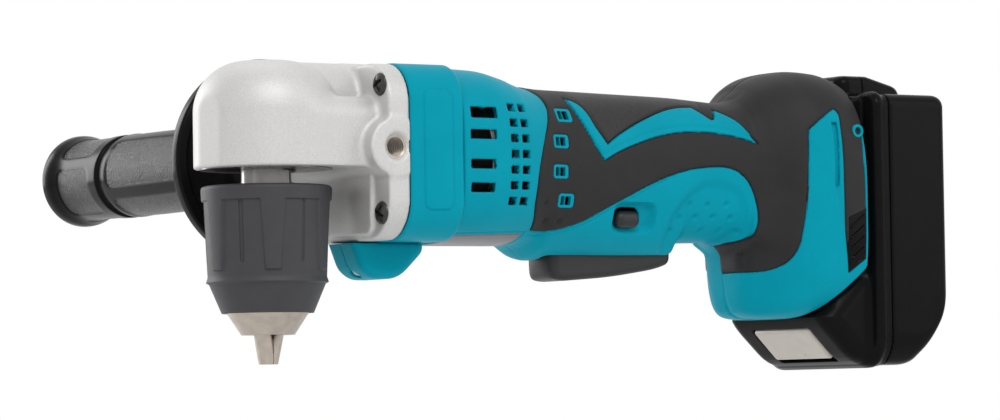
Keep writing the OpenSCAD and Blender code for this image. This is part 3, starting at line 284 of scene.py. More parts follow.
def newton_step(field, points, step):
    """Move that takes points to the zero level of a field."""
    tiny = step / 20
    here = field(*points.T)
    slope = np.stack([(field(*(points + tiny * e).T) - field(*(points - tiny * e).T)) / (2 * tiny)
                      for e in np.eye(3)], axis=1)
    size = np.maximum((slope ** 2).sum(axis=1), 0.2)
    move = slope * (here / size)[:, None]
    length = np.linalg.norm(move, axis=1)[:, None]
    return move * np.minimum(1, 0.4 * step / np.maximum(length, 1e-9))


class Sheet:
    """A triangle mesh over two surface parameters that can be split along the levels of fields."""

    def __init__(self, u, v):
        grid_u, grid_v = np.meshgrid(u, v, indexing="ij")
        self.uv = np.stack([grid_u.ravel(), grid_v.ravel()], axis=1)
        n = np.arange(len(u) * len(v)).reshape(len(u), len(v))
        a, b, c, d = n[:-1, :-1], n[1:, :-1], n[1:, 1:], n[:-1, 1:]
        self.tris = np.concatenate([np.stack([a, b, c], -1).reshape(-1, 3),
                                    np.stack([a, c, d], -1).reshape(-1, 3)])

    def split(self, field, level=0.0):
        """Adds an edge along field == level."""
        f = field(self.uv) - level
        f = np.where(np.abs(f) < 1e-6, 1e-6, f)
        up = f[self.tris] > 0
        mixed = up.any(axis=1) & ~up.all(axis=1)
        tris, sides = self.tris[mixed], up[mixed]
        if not len(tris):
            return
        lone = np.where(sides.sum(axis=1) == 1, sides.argmax(axis=1), (~sides).argmax(axis=1))
        rows = np.arange(len(tris))
        a = tris[rows, lone]
        b = tris[rows, (lone + 1) % 3]
        c = tris[rows, (lone + 2) % 3]
        pairs = np.sort(np.concatenate([np.stack([a, b], 1), np.stack([a, c], 1)]), axis=1)
        unique, where = np.unique(pairs, axis=0, return_inverse=True)
        where = where.ravel()
        t = f[unique[:, 0]] / (f[unique[:, 0]] - f[unique[:, 1]])
        new = self.uv[unique[:, 0]] + t[:, None] * (self.uv[unique[:, 1]] - self.uv[unique[:, 0]])
        ab = len(self.uv) + where[:len(tris)]
        ac = len(self.uv) + where[len(tris):]
        self.uv = np.concatenate([self.uv, new])
        self.tris = np.concatenate([self.tris[~mixed], np.stack([a, ab, ac], 1),
                                    np.stack([ab, b, c], 1), np.stack([ab, c, ac], 1)])

    def part(self, field):
        """The triangles whose middle has a positive field, as parameters and faces."""
        keep = self.tris[field(self.uv[self.tris].mean(axis=1)) > 0]
        used, faces = np.unique(keep, return_inverse=True)
        return self.uv[used], faces.reshape(-1, 3)


def field_piece(name, field, low, high, step, finish, body="tool", replaces=(), sharp=45):
    """A shown piece from the zero level of a field inside a box."""
    points, quads = surface_nets(field, low, high, mesh_step(step))
    return mesh_piece(name, points, quads, finish, body, replaces, sharp)


def joined(meshes):
    """Several meshes of points and faces as one."""
    starts = np.cumsum([0] + [len(points) for points, _ in meshes])
    faces = [faces + start for (_, faces), start in zip(meshes, starts)]
    return np.concatenate([points for points, _ in meshes]), np.concatenate(faces)


def ring_faces(rows, columns):
    """Quads between rows of points that close into rings."""
    n = np.arange(rows * columns).reshape(rows, columns)
    after = np.roll(n, -1, 1)
    return np.stack([n[:-1], after[:-1], after[1:], n[1:]], -1).reshape(-1, 4)


def revolve(profile, degrees):
    """Points and quads of a profile of (radius, height) turned about Z by steps of some degrees."""
    r, h = np.asarray(profile, float).T
    angles = np.radians(np.arange(0, 360, degrees))
    c, s = np.cos(angles), np.sin(angles)
    points = np.stack([np.outer(r, c), np.outer(r, s), np.outer(h, np.ones_like(c))], axis=-1)
    return points.reshape(-1, 3), ring_faces(len(r), len(angles))


def revolve_y(profile, degrees, spot):
    """The same about an axis along Y through a spot of X and Z; heights are along Y."""
    points, faces = revolve(profile, degrees)
    return points[:, [1, 2, 0]] + [spot[0], 0, spot[1]], faces


# Materials

def make_material(name, colour, rough, metallic=0.0, mottle=0.1, mottle_scale=120, grain=0.0,
                  grain_scale=2400, grain_depth=0.0002, sparkle=0.0, coat=0.0, specular=0.5,
                  specular_tint=(1, 1, 1)):
    """Moulded or cast surface: mottled colour, uneven gloss and a fine grain."""
    material = bpy.data.materials.new(name)
    material.use_nodes = True
    tree = material.node_tree
    join = tree.links.new
    shader = tree.nodes["Principled BSDF"]
    shader.inputs["Metallic"].default_value = metallic
    shader.inputs["Coat Weight"].default_value = coat
    shader.inputs["Specular IOR Level"].default_value = specular
    shader.inputs["Specular Tint"].default_value = specular_tint + (1.0,)
    place = tree.nodes.new("ShaderNodeTexCoord")

    def noise(scale, detail):
        node = tree.nodes.new("ShaderNodeTexNoise")
        node.inputs["Scale"].default_value = scale
        node.inputs["Detail"].default_value = detail
        join(place.outputs["Object"], node.inputs["Vector"])
        return node.outputs["Fac"]

    def shades(source, spread, positions):
        """A darker and a lighter shade of the colour, mixed by a noise."""
        ramp = tree.nodes.new("ShaderNodeValToRGB")
        for stop, position, share in zip(ramp.color_ramp.elements, positions, (1 - spread, 1 + spread)):
            stop.position = position
            stop.color = tuple(min(1.0, c * share) for c in colour) + (1.0,)
        join(source, ramp.inputs["Fac"])
        return ramp.outputs["Color"]

    broad = noise(mottle_scale, 4)
    fine = noise(grain_scale, 2)
    result = shades(broad, mottle, (0.3, 0.7))
    if sparkle:
        mix = tree.nodes.new("ShaderNodeMixRGB")
        mix.inputs["Fac"].default_value = 0.6
        join(result, mix.inputs["Color1"])
        join(shades(fine, sparkle, (0.35, 0.68)), mix.inputs["Color2"])
        result = mix.outputs["Color"]
    join(result, shader.inputs["Base Color"])
    gloss = tree.nodes.new("ShaderNodeMapRange")
    gloss.inputs["To Min"].default_value, gloss.inputs["To Max"].default_value = rough
    join(broad, gloss.inputs["Value"])
    join(gloss.outputs["Result"], shader.inputs["Roughness"])
    if grain:
        bump = tree.nodes.new("ShaderNodeBump")
        bump.inputs["Strength"].default_value = grain
        bump.inputs["Distance"].default_value = grain_depth
        join(fine, bump.inputs["Height"])
        join(bump.outputs["Normal"], shader.inputs["Normal"])
    return material


FINISH = {
    "casting": dict(colour=(0.53, 0.525, 0.515), rough=(0.5, 0.6), metallic=0.4, mottle=0.03,
                    mottle_scale=300, grain=0.10, grain_scale=2600, sparkle=0.14),
    "steel": dict(colour=(0.42, 0.37, 0.32), rough=(0.28, 0.42), metallic=0.9, mottle_scale=260, grain=0.08,
                  grain_scale=3000),
    # Steel darkened as painted shade: it stands for the shade in the gap under the head and for the dark
    # surroundings the spindle mirrors.
    "steel_painted_shade": dict(colour=(0.2, 0.195, 0.19), rough=(0.2, 0.3), metallic=0.9, mottle_scale=260,
                         grain=0.06, grain_scale=3000),
    "dark_steel": dict(colour=(0.035, 0.034, 0.033), rough=(0.26, 0.4), metallic=0.5, mottle=0.2,
                       mottle_scale=400, grain=0.1, grain_scale=3000),
    "chuck_plastic": dict(colour=(0.036, 0.036, 0.040), rough=(0.5, 0.62), mottle=0.08, mottle_scale=140,
                          grain=0.16, grain_scale=2800, specular=0.35),
    "teal": dict(colour=(0.003, 0.262, 0.352), rough=(0.38, 0.48), mottle=0.04, mottle_scale=60, grain=0.06,
                 specular=0.05, specular_tint=(0.05, 0.8, 1.0)),
    "rubber": dict(colour=(0.020, 0.0195, 0.0205), rough=(0.46, 0.6), mottle=0.12, mottle_scale=80,
                   grain=0.14, grain_scale=2200, specular=0.15),
    "grained_rubber": dict(colour=(0.015, 0.0148, 0.015), rough=(0.46, 0.6), mottle=0.12, mottle_scale=80,
                           grain=0.8, grain_scale=1100, sparkle=0.4, specular=0.3),
    "grip_grain": dict(colour=(0.010, 0.010, 0.0105), rough=(0.22, 0.32), grain=1.0, grain_scale=1400,
                       grain_depth=0.0006, specular=0.3),
    "black_plastic": dict(colour=(0.012, 0.012, 0.013), rough=(0.36, 0.48), grain=0.1, specular=0.35),
    "gloss_black": dict(colour=(0.004, 0.004, 0.0045), rough=(0.2, 0.28), grain=0.02, specular=0.07),
    "pack_plastic": dict(colour=(0.005, 0.005, 0.0055), rough=(0.2, 0.28), mottle_scale=110, grain=0.03,
                         specular=0.05),
    "beige": dict(colour=(0.46, 0.42, 0.37), rough=(0.24, 0.34), mottle=0.05, grain=0.04, grain_scale=2600),
    "lens": dict(colour=(0.30, 0.34, 0.37), rough=(0.08, 0.16), mottle=0.04, mottle_scale=200, coat=0.3),
    "board": dict(colour=(0.02, 0.16, 0.05), rough=(0.4, 0.55), mottle=0.2, mottle_scale=700),
    "copper": dict(colour=(0.5, 0.22, 0.11), rough=(0.3, 0.45), metallic=0.9, mottle=0.15, mottle_scale=300),
    "brass": dict(colour=(0.6, 0.44, 0.16), rough=(0.28, 0.4), metallic=0.95, mottle=0.12, mottle_scale=300),
    "carbon": dict(colour=(0.03, 0.03, 0.03), rough=(0.5, 0.7), mottle=0.2, mottle_scale=900, grain=0.2,
                   grain_scale=1500),
    "fan_plastic": dict(colour=(0.03, 0.03, 0.032), rough=(0.4, 0.55), grain=0.1, grain_scale=1500),
    "cell": dict(colour=(0.05, 0.16, 0.30), rough=(0.3, 0.45), mottle=0.08, mottle_scale=150, coat=0.2),
    "plate": dict(colour=(0.085, 0.085, 0.098), rough=(0.3, 0.4), mottle=0.05, mottle_scale=150, grain=0.04),
}
materials = {name: make_material(name + "_finish", **spec) for name, spec in FINISH.items()}


# Carried-over CAD nodes: each takes the finish of its slot, apart from these

OWN_FINISH = {
    "steel": ["bevel_gear", "bevel_pinion", "spur_gear", "sun_pinion", "jaw_nut", "armature"],
    # The spindle and bearing retainer take the darkened steel, a painted shade.
    "steel_painted_shade": ["spindle", "bearing_retainer"],
    "black_plastic": ["switch_body", "terminal_block", "motor_tail", "gear_plate"],
}


def dress_cad():
    """Gives every CAD node its finish and welds its split corners."""
    finish = {row["node"]: row["material_slot"] for row in frame["record"]["subparts"]}
    finish.update({name: own for own, names in OWN_FINISH.items() for name in names})
    for name, node in nodes.items():
        node.data.materials.clear()
        node.data.materials.append(materials[finish[name]])
        weld(node, CAD_WELD)


# Gear housing: a cast head, its bevel shaft ridge, the neck and the flange, blended as one casting

HEAD_R, HEAD_HALF, HEAD_LOW_Z, HEAD_TOP_Z, DOME_R = 26.4, 60.0, 71.3, 110.6, 19.0
NOSE_TURN, NOSE_CUT = math.radians(8), 0.8
NECK_HALF_X, NECK_HALF_Z, NECK_FLARE = 20.0, 48.5, 0.05
RIDGE_R = 15.0
FOOT_Z, FOOT_HALF, FOOT_FRONT_X = 62.0, (23.0, 15.0), 30.4
POCKET_R, POCKET_HALF = 5.3, 2.2
BOSS_R = 10.5
BORE_R, BORE_TOP_Z = 22.3, 82.0
CAVITY_R, CAVITY_TOP_Z = 18.5, 96.0
SHAFT_Z, SHAFT_BORE_R = 91.4, 9.0
SOCKET_R, SOCKET_DEPTH, SOCKET_SINK = 4.1, 14.0, 0.9
THREAD_PITCH, THREAD_COUNT, THREAD_START = 1.25, 10, 0.8
THREAD_ROOT_R, THREAD_CREST_R, THREAD_END_R = SOCKET_R + 0.05, SOCKET_R - 0.65, SOCKET_R + 0.5
THREAD_CREST = (0.3, 0.95)


def gear_field(x, y, z):
    rho = np.hypot(x, y)
    head = rounded_box([rho, z - (HEAD_TOP_Z - HEAD_HALF)], [HEAD_R, HEAD_HALF], DOME_R)
    nose = math.cos(NOSE_TURN) * x + math.sin(NOSE_TURN) * y
    head = smax(head, -nose - (HEAD_R - NOSE_CUT), 0.4)
    ridge = np.hypot(y, z - (HEAD_TOP_Z - RIDGE_R)) - RIDGE_R
    ridge = smax(ridge, np.abs(x - NECK_HALF_X) - NECK_HALF_X, 1.0)
    neck_hw = HEAD_R + NECK_FLARE * np.clip(x, 0, FLANGE_X[0])
    neck = rounded_box([x - NECK_HALF_X, y, z - NECK_HALF_Z], [NECK_HALF_X, neck_hw, NECK_HALF_Z], 8.0)
    body = smin(smin(head, neck, 3.0), ridge, 0.9)
    body = smax(body, HEAD_LOW_Z - z, 0.8)
    plate = rounded_box([y, z - AXIS_Z], [FLANGE_HW, FLANGE_HH], FLANGE_CORNER_R)
    flange = smax(plate, FLANGE_X[0] - x, 1.6)
    foot = smax(rounded_box([y, z - FOOT_Z], FOOT_HALF, 4.0), FOOT_FRONT_X - x, 0.8)
    for screw_y, screw_z in SCREW_SPOTS:
        pocket = np.hypot(y - screw_y, z - screw_z) - POCKET_R
        pocket = smax(pocket, np.abs(x - FLANGE_X[0] + POCKET_HALF) - POCKET_HALF, 0.4)
        body = smax(body, -pocket, 0.8)
        foot = smax(foot, -pocket, 0.8)
    across = np.hypot(x - SOCKET_SPOT[0], z - SOCKET_SPOT[1])
    boss = smax(across - BOSS_R, np.abs(y) - FLANGE_HW, 1.0)
    body = smin(smin(smin(body, flange, 2.5), boss, 2.2), foot, 2.0)
    body = smax(body, x - FLANGE_X[1], 0.4)
    bore = smax(rho - BORE_R, z - BORE_TOP_Z, 0.6)
    shaft_bore = smax(np.hypot(y, z - SHAFT_Z) - SHAFT_BORE_R, -x, 1.0)
    cavity = smin(smax(rho - CAVITY_R, z - CAVITY_TOP_Z, 2.0), shaft_bore, 2.0)
    body = smax(body, -np.minimum(bore, cavity), 0.5)
    hole = smax(across - SOCKET_R, FLANGE_HW - SOCKET_DEPTH - np.abs(y), 0.4)
    sink = across - SOCKET_R - SOCKET_SINK - (np.abs(y) - FLANGE_HW)
    return smax(body, -np.minimum(hole, sink), 0.4)


def gear_housing():
    field_piece("gear_casting", gear_field, (-29, -37, 42), (43, 37, 113), 0.65, "casting",
                replaces=["gear_housing"], sharp=50)
    first, last = THREAD_CREST
    start = THREAD_START - FLANGE_HW
    thread = [(THREAD_END_R, start)]
    for root in start + THREAD_PITCH * np.arange(THREAD_COUNT):
        thread += [(THREAD_ROOT_R, root), (THREAD_CREST_R, root + first), (THREAD_CREST_R, root + last)]
    thread.append((THREAD_END_R, thread[-1][1]))
    points, faces = revolve_y(thread, 6, SOCKET_SPOT)
    side_pieces("socket_thread", points, faces[:, ::-1], "steel", sharp=20)


# Phillips screws of the flange: a pan head with a cross, and its shank

SCREW_HEAD_R, SCREW_DOME_R, SCREW_DOME_X = 4.5, 5.9, 3.6
CROSS_HALF, CROSS_DEPTH_X, CROSS_TAPER = 2.9, -0.5, 0.2
CROSS_HW, CROSS_TOP_X = 0.7, -2.2
SHANK_R, SHANK_X = 1.9, (-0.4, 21.6)
SCREW_TURNS = (0.5, 1.1, 0.2, 0.8)
SCREW_LIFT = 0.1


def screw_field(x, y, z):
    """One screw along X with its head's bearing face at X = 0, facing -X."""
    rho = np.hypot(y, z)
    head = smax(np.sqrt((x - SCREW_DOME_X) ** 2 + rho ** 2) - SCREW_DOME_R, rho - SCREW_HEAD_R, 0.8)
    head = smax(head, x, 0.2)
    half = CROSS_HW - CROSS_TAPER * (x - CROSS_TOP_X)
    bars = [np.maximum(np.abs(a) - half, np.abs(b) - CROSS_HALF) for a, b in ((y, z), (z, y))]
    head = smax(head, -smax(np.minimum(*bars), x - CROSS_DEPTH_X, 0.2), 0.2)
    shank = np.abs(x - sum(SHANK_X) / 2) - (SHANK_X[1] - SHANK_X[0]) / 2
    return np.minimum(head, smax(rho - SHANK_R, shank, 0.3))


def flange_screws():
    points, quads = surface_nets(screw_field, (-3, -5.4, -5.4), (23, 5.4, 5.4), mesh_step(0.3))
    screws = []
    for spot, angle in zip(SCREW_SPOTS, SCREW_TURNS):
        turn = np.array(Matrix.Rotation(angle, 3, "X"))
        screws.append((points @ turn.T + [FLANGE_X[0] + SCREW_LIFT, *spot], quads))
    mesh_piece("screw_heads", *joined(screws), "dark_steel", replaces=["flange_screws"], sharp=35)


# Lamp housing under the flange

LAMP_SHAPE = soft_outline(
    [(30.7, 46), (30.7, 44.4), (34.6, 34.6), (39.5, 31.0), (51, 31.0), (61.6, 41.0), (61.6, 46)],
    [0, 0.5, 2.5, 3, 5, 2, 0])
LAMP_HW, LAMP_TOP_Z = 10.5, 44.2
LAMP_SPOT, LAMP_TURN = (37.7, 33.4), 36.3
LAMP_SEAM_HALF, LAMP_SEAM_DEPTH = 0.22, 0.4
WINDOW_R, WINDOW_DEPTH = 2.3, 1.8
LENS_R, LENS_DEPTH, LENS_DOME_R, LENS_DOME_DEPTH = 2.05, 1.6, 3.1, 2.6


def lamp_field(x, y, z):
    body = smax(prism(x, y, z, LAMP_SHAPE, LAMP_HW, 3.6), z - LAMP_TOP_Z, 0.3)
    along, out = slope_frame(x, z, LAMP_SPOT, LAMP_TURN)
    window = smax(np.hypot(along, y) - WINDOW_R, -out - WINDOW_DEPTH, 0.3)
    seam = np.maximum(np.abs(y) - LAMP_SEAM_HALF, -body - LAMP_SEAM_DEPTH)
    return np.maximum(smax(body, -window, 0.5), -seam)


def lens_field(x, y, z):
    along, out = slope_frame(x, z, LAMP_SPOT, LAMP_TURN)
    dome = np.sqrt(along ** 2 + y ** 2 + (out + LENS_DOME_DEPTH) ** 2) - LENS_DOME_R
    return smax(smax(dome, np.hypot(along, y) - LENS_R, 0.3), -out - LENS_DEPTH, 0.3)


def lamp_housing():
    field_piece("lamp_shell", lamp_field, (29, -12, 29), (63, 12, 46), 0.4, "teal", replaces=["lamp_housing"],
                sharp=40)
    field_piece("lamp_glass", lens_field, (34, -3, 30), (41, 3, 37), 0.25, "lens", replaces=["lamp_lens"],
                sharp=40)


# Trigger and reversing lever

TRIGGER_SHAPE = soft_outline(
    [(116.3, 46.4), (116.3, 38.7), (118.5, 31.8), (123.5, 30.5), (146.4, 32.1), (167.4, 35.2), (173.9, 37.4),
     (173.9, 43.0), (155.8, 45.0)], [0, 3, 2.5, 3, 8, 6, 2.5, 1, 1])
TRIGGER_HW, TRIGGER_WAIST, TRIGGER_WAIST_X = 8.9, 0.6, (120.0, 150.0)
TRIGGER_FRONT_X, TRIGGER_BOW = 116.3, 0.045
PIN_SPOT, EAR_R, EAR_HW = (171.48, 44.0), 3.15, 8.3
PILL_SPOT, PILL_HALF, PILL_EDGE_R = (145.99, 53.57), (5.5, 21.5, 3.3), 2.9


def trigger_field(x, y, z):
    half = TRIGGER_HW - TRIGGER_WAIST * ramp_up(x, TRIGGER_WAIST_X)
    body = prism(x, y, z, TRIGGER_SHAPE, half, 2.2)
    front = TRIGGER_FRONT_X + TRIGGER_BOW * y ** 2
    body = smax(body, 0.8 * (front - x), 2.0)
    ear = smax(np.hypot(x - PIN_SPOT[0], z - PIN_SPOT[1]) - EAR_R, np.abs(y) - EAR_HW, 0.4)
    return smin(body, ear, 0.8)


def lever_field(x, y, z):
    return rounded_box([x - PILL_SPOT[0], y, z - PILL_SPOT[1]], PILL_HALF, PILL_EDGE_R)


def controls():
    field_piece("trigger_paddle", trigger_field, (114, -10.5, 28), (177, 10.5, 49), 0.5, "black_plastic",
                "trigger", ["trigger"])
    field_piece("lever_pill", lever_field, (138.5, -24, 48.5), (153.5, 24, 58.7), 0.5, "black_plastic",
                "lever", ["reverse_lever"])


# Side handle: revolved about its bolt's axis, with profiles of radius and Y

GUARD = soft_outline(
    [(3.6, 34.35), (13, 34.35), (13, 52), (19, 58.4), (34.6, 59.8), (35.2, 59.0), (38.9, 60.0), (38.9, 65.2),
     (36.5, 65.2), (34.0, 64.0), (3.6, 64)],
    [0, 0.8, 4, 4, 0.5, 0.6, 1.2, 1.2, 1, 1, 0])
GRIP = soft_outline(
    [(3.6, 64.05), (16.0, 64.05), (17.3, 66.5), (17.3, 69.5), (16.4, 72.5), (15.8, 93.6), (16.7, 135),
     (16.7, 163.8), (15.4, 164.6), (15.4, 168.4), (16.7, 169.2), (16.5, 200.5), (18.6, 207.5), (18.6, 212),
     (10.3, 212), (10.3, 186), (3.6, 184)],
    [0, 1.2, 1, 1, 2, 14, 14, 0.7, 0.5, 0.5, 0.7, 4, 2, 1.6, 1.6, 3, 0])
GRIP_R, GRIP_INSIDE_R, GRIP_EDGE = 16.5, 14.0, 1.2
PANEL_PITCH, PANEL_HALF_ANGLE = math.radians(90), math.radians(36.5)
PANEL_DEPTH, PANEL_RIM = 0.3, (-0.3, 0.5)
GRIP_PANELS = [((76.0, 160.0), math.radians(17)), ((176.5, 201.5), math.radians(-24))]


def subdivide(shape, longest):
    """The outline with its long edges cut into shorter ones."""
    out = []
    for a, b in zip(shape, np.roll(shape, -1, axis=0)):
        parts = max(1, int(np.ceil(np.linalg.norm(b - a) / longest)))
        out += [a + (b - a) * k / parts for k in range(parts)]
    return np.array(out)


def grip_panel(y, turn):
    """Positive inside the grained panels of the grip; turn is measured from -X upwards."""
    half_arc = GRIP_R * PANEL_HALF_ANGLE
    panels = []
    for span, middle in GRIP_PANELS:
        arc = GRIP_R * ((turn - middle + PANEL_PITCH / 2) % PANEL_PITCH - PANEL_PITCH / 2)
        panels.append(-span_box([y, arc], [span, (-half_arc, half_arc)], 3.0))
    return np.maximum(*panels)


def side_handle():
    points, faces = revolve_y(closed(GUARD), 2, SOCKET_SPOT)
    mesh_piece("guard_disc", points, faces, "gloss_black", replaces=["handle_guard"], sharp=45)
    points, faces = revolve_y(closed(subdivide(GRIP, GRIP_EDGE)), 2, SOCKET_SPOT)
    dx, dz = points[:, 0] - SOCKET_SPOT[0], points[:, 2] - SOCKET_SPOT[1]
    radius = np.hypot(dx, dz)
    panel = np.where(radius > GRIP_INSIDE_R, grip_panel(points[:, 1], np.arctan2(dz, -dx)), -np.inf)
    sunk = PANEL_DEPTH * ramp_up(panel, PANEL_RIM) / np.maximum(radius, 1)
    points -= np.stack([dx * sunk, np.zeros_like(dx), dz * sunk], axis=1)
    piece = mesh_piece("side_grip", points, faces, "gloss_black", replaces=["handle_grip"], sharp=45)
    piece.data.materials.append(materials["grip_grain"])
    for face, grained in zip(piece.data.polygons, (panel[faces] > 0).all(axis=1)):
        face.material_index = int(grained)


# Battery: case, cover with its chin and rails, and the button on the chin's slope

PACK_HW, PACK_Z, PACK_END_X = 37.5, (-2.5, 103.3), 287.14
PACK_SEAM_X, PACK_SEAM_HALF = 258.6, 0.06
SIDE_SLANT, SIDE_SLANT_Z = (0.79, 0.614), 4.6
HEEL_SLANT, HEEL_SPOT = (0.836, 0.553), (286.5, 19.0)
BUMP_SPOT, BUMP_HALF = (263.4, 96.0), (15.6, 20.5, 24.0)
BUMP_TOP_Z, BUMP_FALL, BUMP_FALL_X = 111.3, 0.26, 262.0
BEAD_X, BEAD_INSET, BEAD_DEPTH, BEAD_PLATE_INSET = (251.2, 256.3), 1.7, 6.0, 0.35
BLOCK_SPOT, BLOCK_HALF = (248.0, 57.5), (12.7, 29.6, 45.0)
RAIL_SPOT, RAIL_HALF = (243.9, 30.2, 75.5), (2.0, 4.0, 38.0)
CONTACT_HW, CONTACT_LOW_Z, CONTACT_BACK_X = 20.5, 63.5, 244.5
CHIN_SHAPE = soft_outline(
    [(228.31, 16.4), (248.05, 36.1), (260, 36.1), (260, -2.5), (246.8, -2.5), (231.2, 12.0)],
    [1.5, 2, 0, 0, 7, 5])
CHIN_HW = 33.0
BUTTON_SPOT, BUTTON_TURN, BUTTON_HALF, BUTTON_CROWN = (238.07, 6.53), 44.6, (8.0, 18.0, 1.3), 0.02
SEAT_SHIFT, SEAT_OUT, SEAT_HALF = 1.25, 0.2, (9.6, 18.4, 2.6)


def pack_section(x, y, z):
    """Outline of the pack across X with its slanted lower sides and heel; the case and cover share it."""
    box = span_box([y, z], [(-PACK_HW, PACK_HW), PACK_Z], 5.0)
    side = SIDE_SLANT[0] * (np.abs(y) - PACK_HW) - SIDE_SLANT[1] * (z - SIDE_SLANT_Z)
    heel = HEEL_SLANT[0] * (x - HEEL_SPOT[0]) - HEEL_SLANT[1] * (z - HEEL_SPOT[1])
    return smax(box, smax(side, heel, 5.0), 3.0)


def pack_bump(x, y, z):
    slope = z - BUMP_TOP_Z + BUMP_FALL * np.maximum(x - BUMP_FALL_X, 0)
    return smax(rounded_box([x - BUMP_SPOT[0], y, z - BUMP_SPOT[1]], BUMP_HALF, 5.0), slope, 4.0)


def case_field(x, y, z):
    body = smax(pack_section(x, y, z), x - PACK_END_X, 5.0)
    body = smin(body, pack_bump(x, y, z), 1.6)
    return smax(body, PACK_SEAM_X + PACK_SEAM_HALF - x, 0.5)


def cover_field(x, y, z):
    section = pack_section(x, y, z)
    plate = smax(section + BEAD_PLATE_INSET, BEAD_X[0] - x, 1.0)
    ridge = np.hypot(np.maximum(section + BEAD_INSET, 0), x - sum(BEAD_X) / 2) - (BEAD_X[1] - BEAD_X[0]) / 2
    body = smin(plate, np.maximum(ridge, -section - BEAD_DEPTH), 0.6)
    block = rounded_box([x - BLOCK_SPOT[0], y, z - BLOCK_SPOT[1]], BLOCK_HALF, 2.5)
    rail = rounded_box([a - b for a, b in zip((x, np.abs(y), z), RAIL_SPOT)], RAIL_HALF, 0.5)
    body = smin(body, smax(block, -rail, 0.5), 1.2)
    body = smin(body, prism(x, y, z, CHIN_SHAPE, CHIN_HW, 7.0), 2.5)
    body = smin(body, pack_bump(x, y, z), 1.6)
    along, out = slope_frame(x, z, BUTTON_SPOT, BUTTON_TURN)
    body = smax(body, -rounded_box([along - SEAT_SHIFT, y, out - SEAT_OUT], SEAT_HALF, 0.8), 0.4)
    contact = smax(np.abs(y) - CONTACT_HW, np.maximum(CONTACT_LOW_Z - z, x - CONTACT_BACK_X), 0.4)
    body = smax(body, -contact, 0.4)
    return smax(body, x - PACK_SEAM_X + PACK_SEAM_HALF, 0.5)


def button_field(x, y, z):
    along, out = slope_frame(x, z, BUTTON_SPOT, BUTTON_TURN)
    crown = BUTTON_CROWN * (y / BUTTON_HALF[1]) ** 2
    return rounded_box([along, y, out + crown], BUTTON_HALF, 1.1)


def battery():
    field_piece("pack_shell", case_field, (256, -40, -5), (289, 40, 114), 0.8, "pack_plastic", "pack",
                ["pack_case"])
    field_piece("pack_front", cover_field, (226, -40, -5), (261, 40, 114), 0.7, "pack_plastic", "pack",
                ["pack_cover"])
    field_piece("release_button", button_field, (229, -20, -2), (247, 20, 15.5), 0.5, "beige", "button",
                ["pack_button"])


# Gearbox cover: a ring with a raised bare panel on each side

COVER_X, COVER_HW, COVER_HH, COVER_WALL = (40.45, 63.5), 35.2, 32.6, 3.2
COVER_REACH = 60.0
BADGE_X, BADGE_Z, BADGE_HEIGHT = (46.6, 58.4), (55.5, 99.0), 0.3
COVER_END_DEPTH, BADGE_GROOVE_DEPTH = 0.5, 0.2


def cover_section(angle, grow):
    """Point of the cover's rounded outline at an angle round the motor axis, found by halving."""
    c, s = np.cos(angle), np.sin(angle)
    half = (COVER_HW + grow, COVER_HH + grow)
    low, high = np.zeros(angle.shape), np.full(angle.shape, COVER_REACH)
    for _ in range(40):
        mid = (high + low) / 2
        out = rounded_box([mid * c, mid * s], half, FLANGE_CORNER_R + grow) > 0
        high = np.where(out, mid, high)
        low = np.where(out, low, mid)
    return np.stack([high * c, AXIS_Z + high * s], axis=1)


def cover_shell():
    def badge(uv):
        return -span_box([uv[:, 0], cover_section(uv[:, 1], 0)[:, 1]], [BADGE_X, BADGE_Z], 2.5)

    sheet = Sheet(np.linspace(*COVER_X, 26), np.linspace(-math.pi, math.pi, 241))
    for level in (-0.7, -0.35, 0.0, 0.35, 0.8):
        sheet.split(badge, level)
    uv, faces = sheet.uv, sheet.tris
    x, angle = uv.T
    inside = badge(uv)
    relief = BADGE_HEIGHT * smooth((inside + 0.1) / 0.5) - groove(inside + 0.35, BADGE_GROOVE_DEPTH, 0.4)
    relief -= groove(np.minimum(x - COVER_X[0], COVER_X[1] - x), COVER_END_DEPTH, 0.7)
    base = cover_section(angle, 0)
    normal = cover_section(angle, 0.01) - base
    normal /= np.linalg.norm(normal, axis=1)[:, None]
    points = np.column_stack([x, base + relief[:, None] * normal])
    piece = mesh_piece("cover_ring", points, faces[:, ::-1], "teal", replaces=["gearbox_cover"])
    weld(piece, SHEET_WELD)
    solidify(piece, COVER_WALL)


# Main housing: stations along X with top, bottom, middle height, half width and squareness above and below

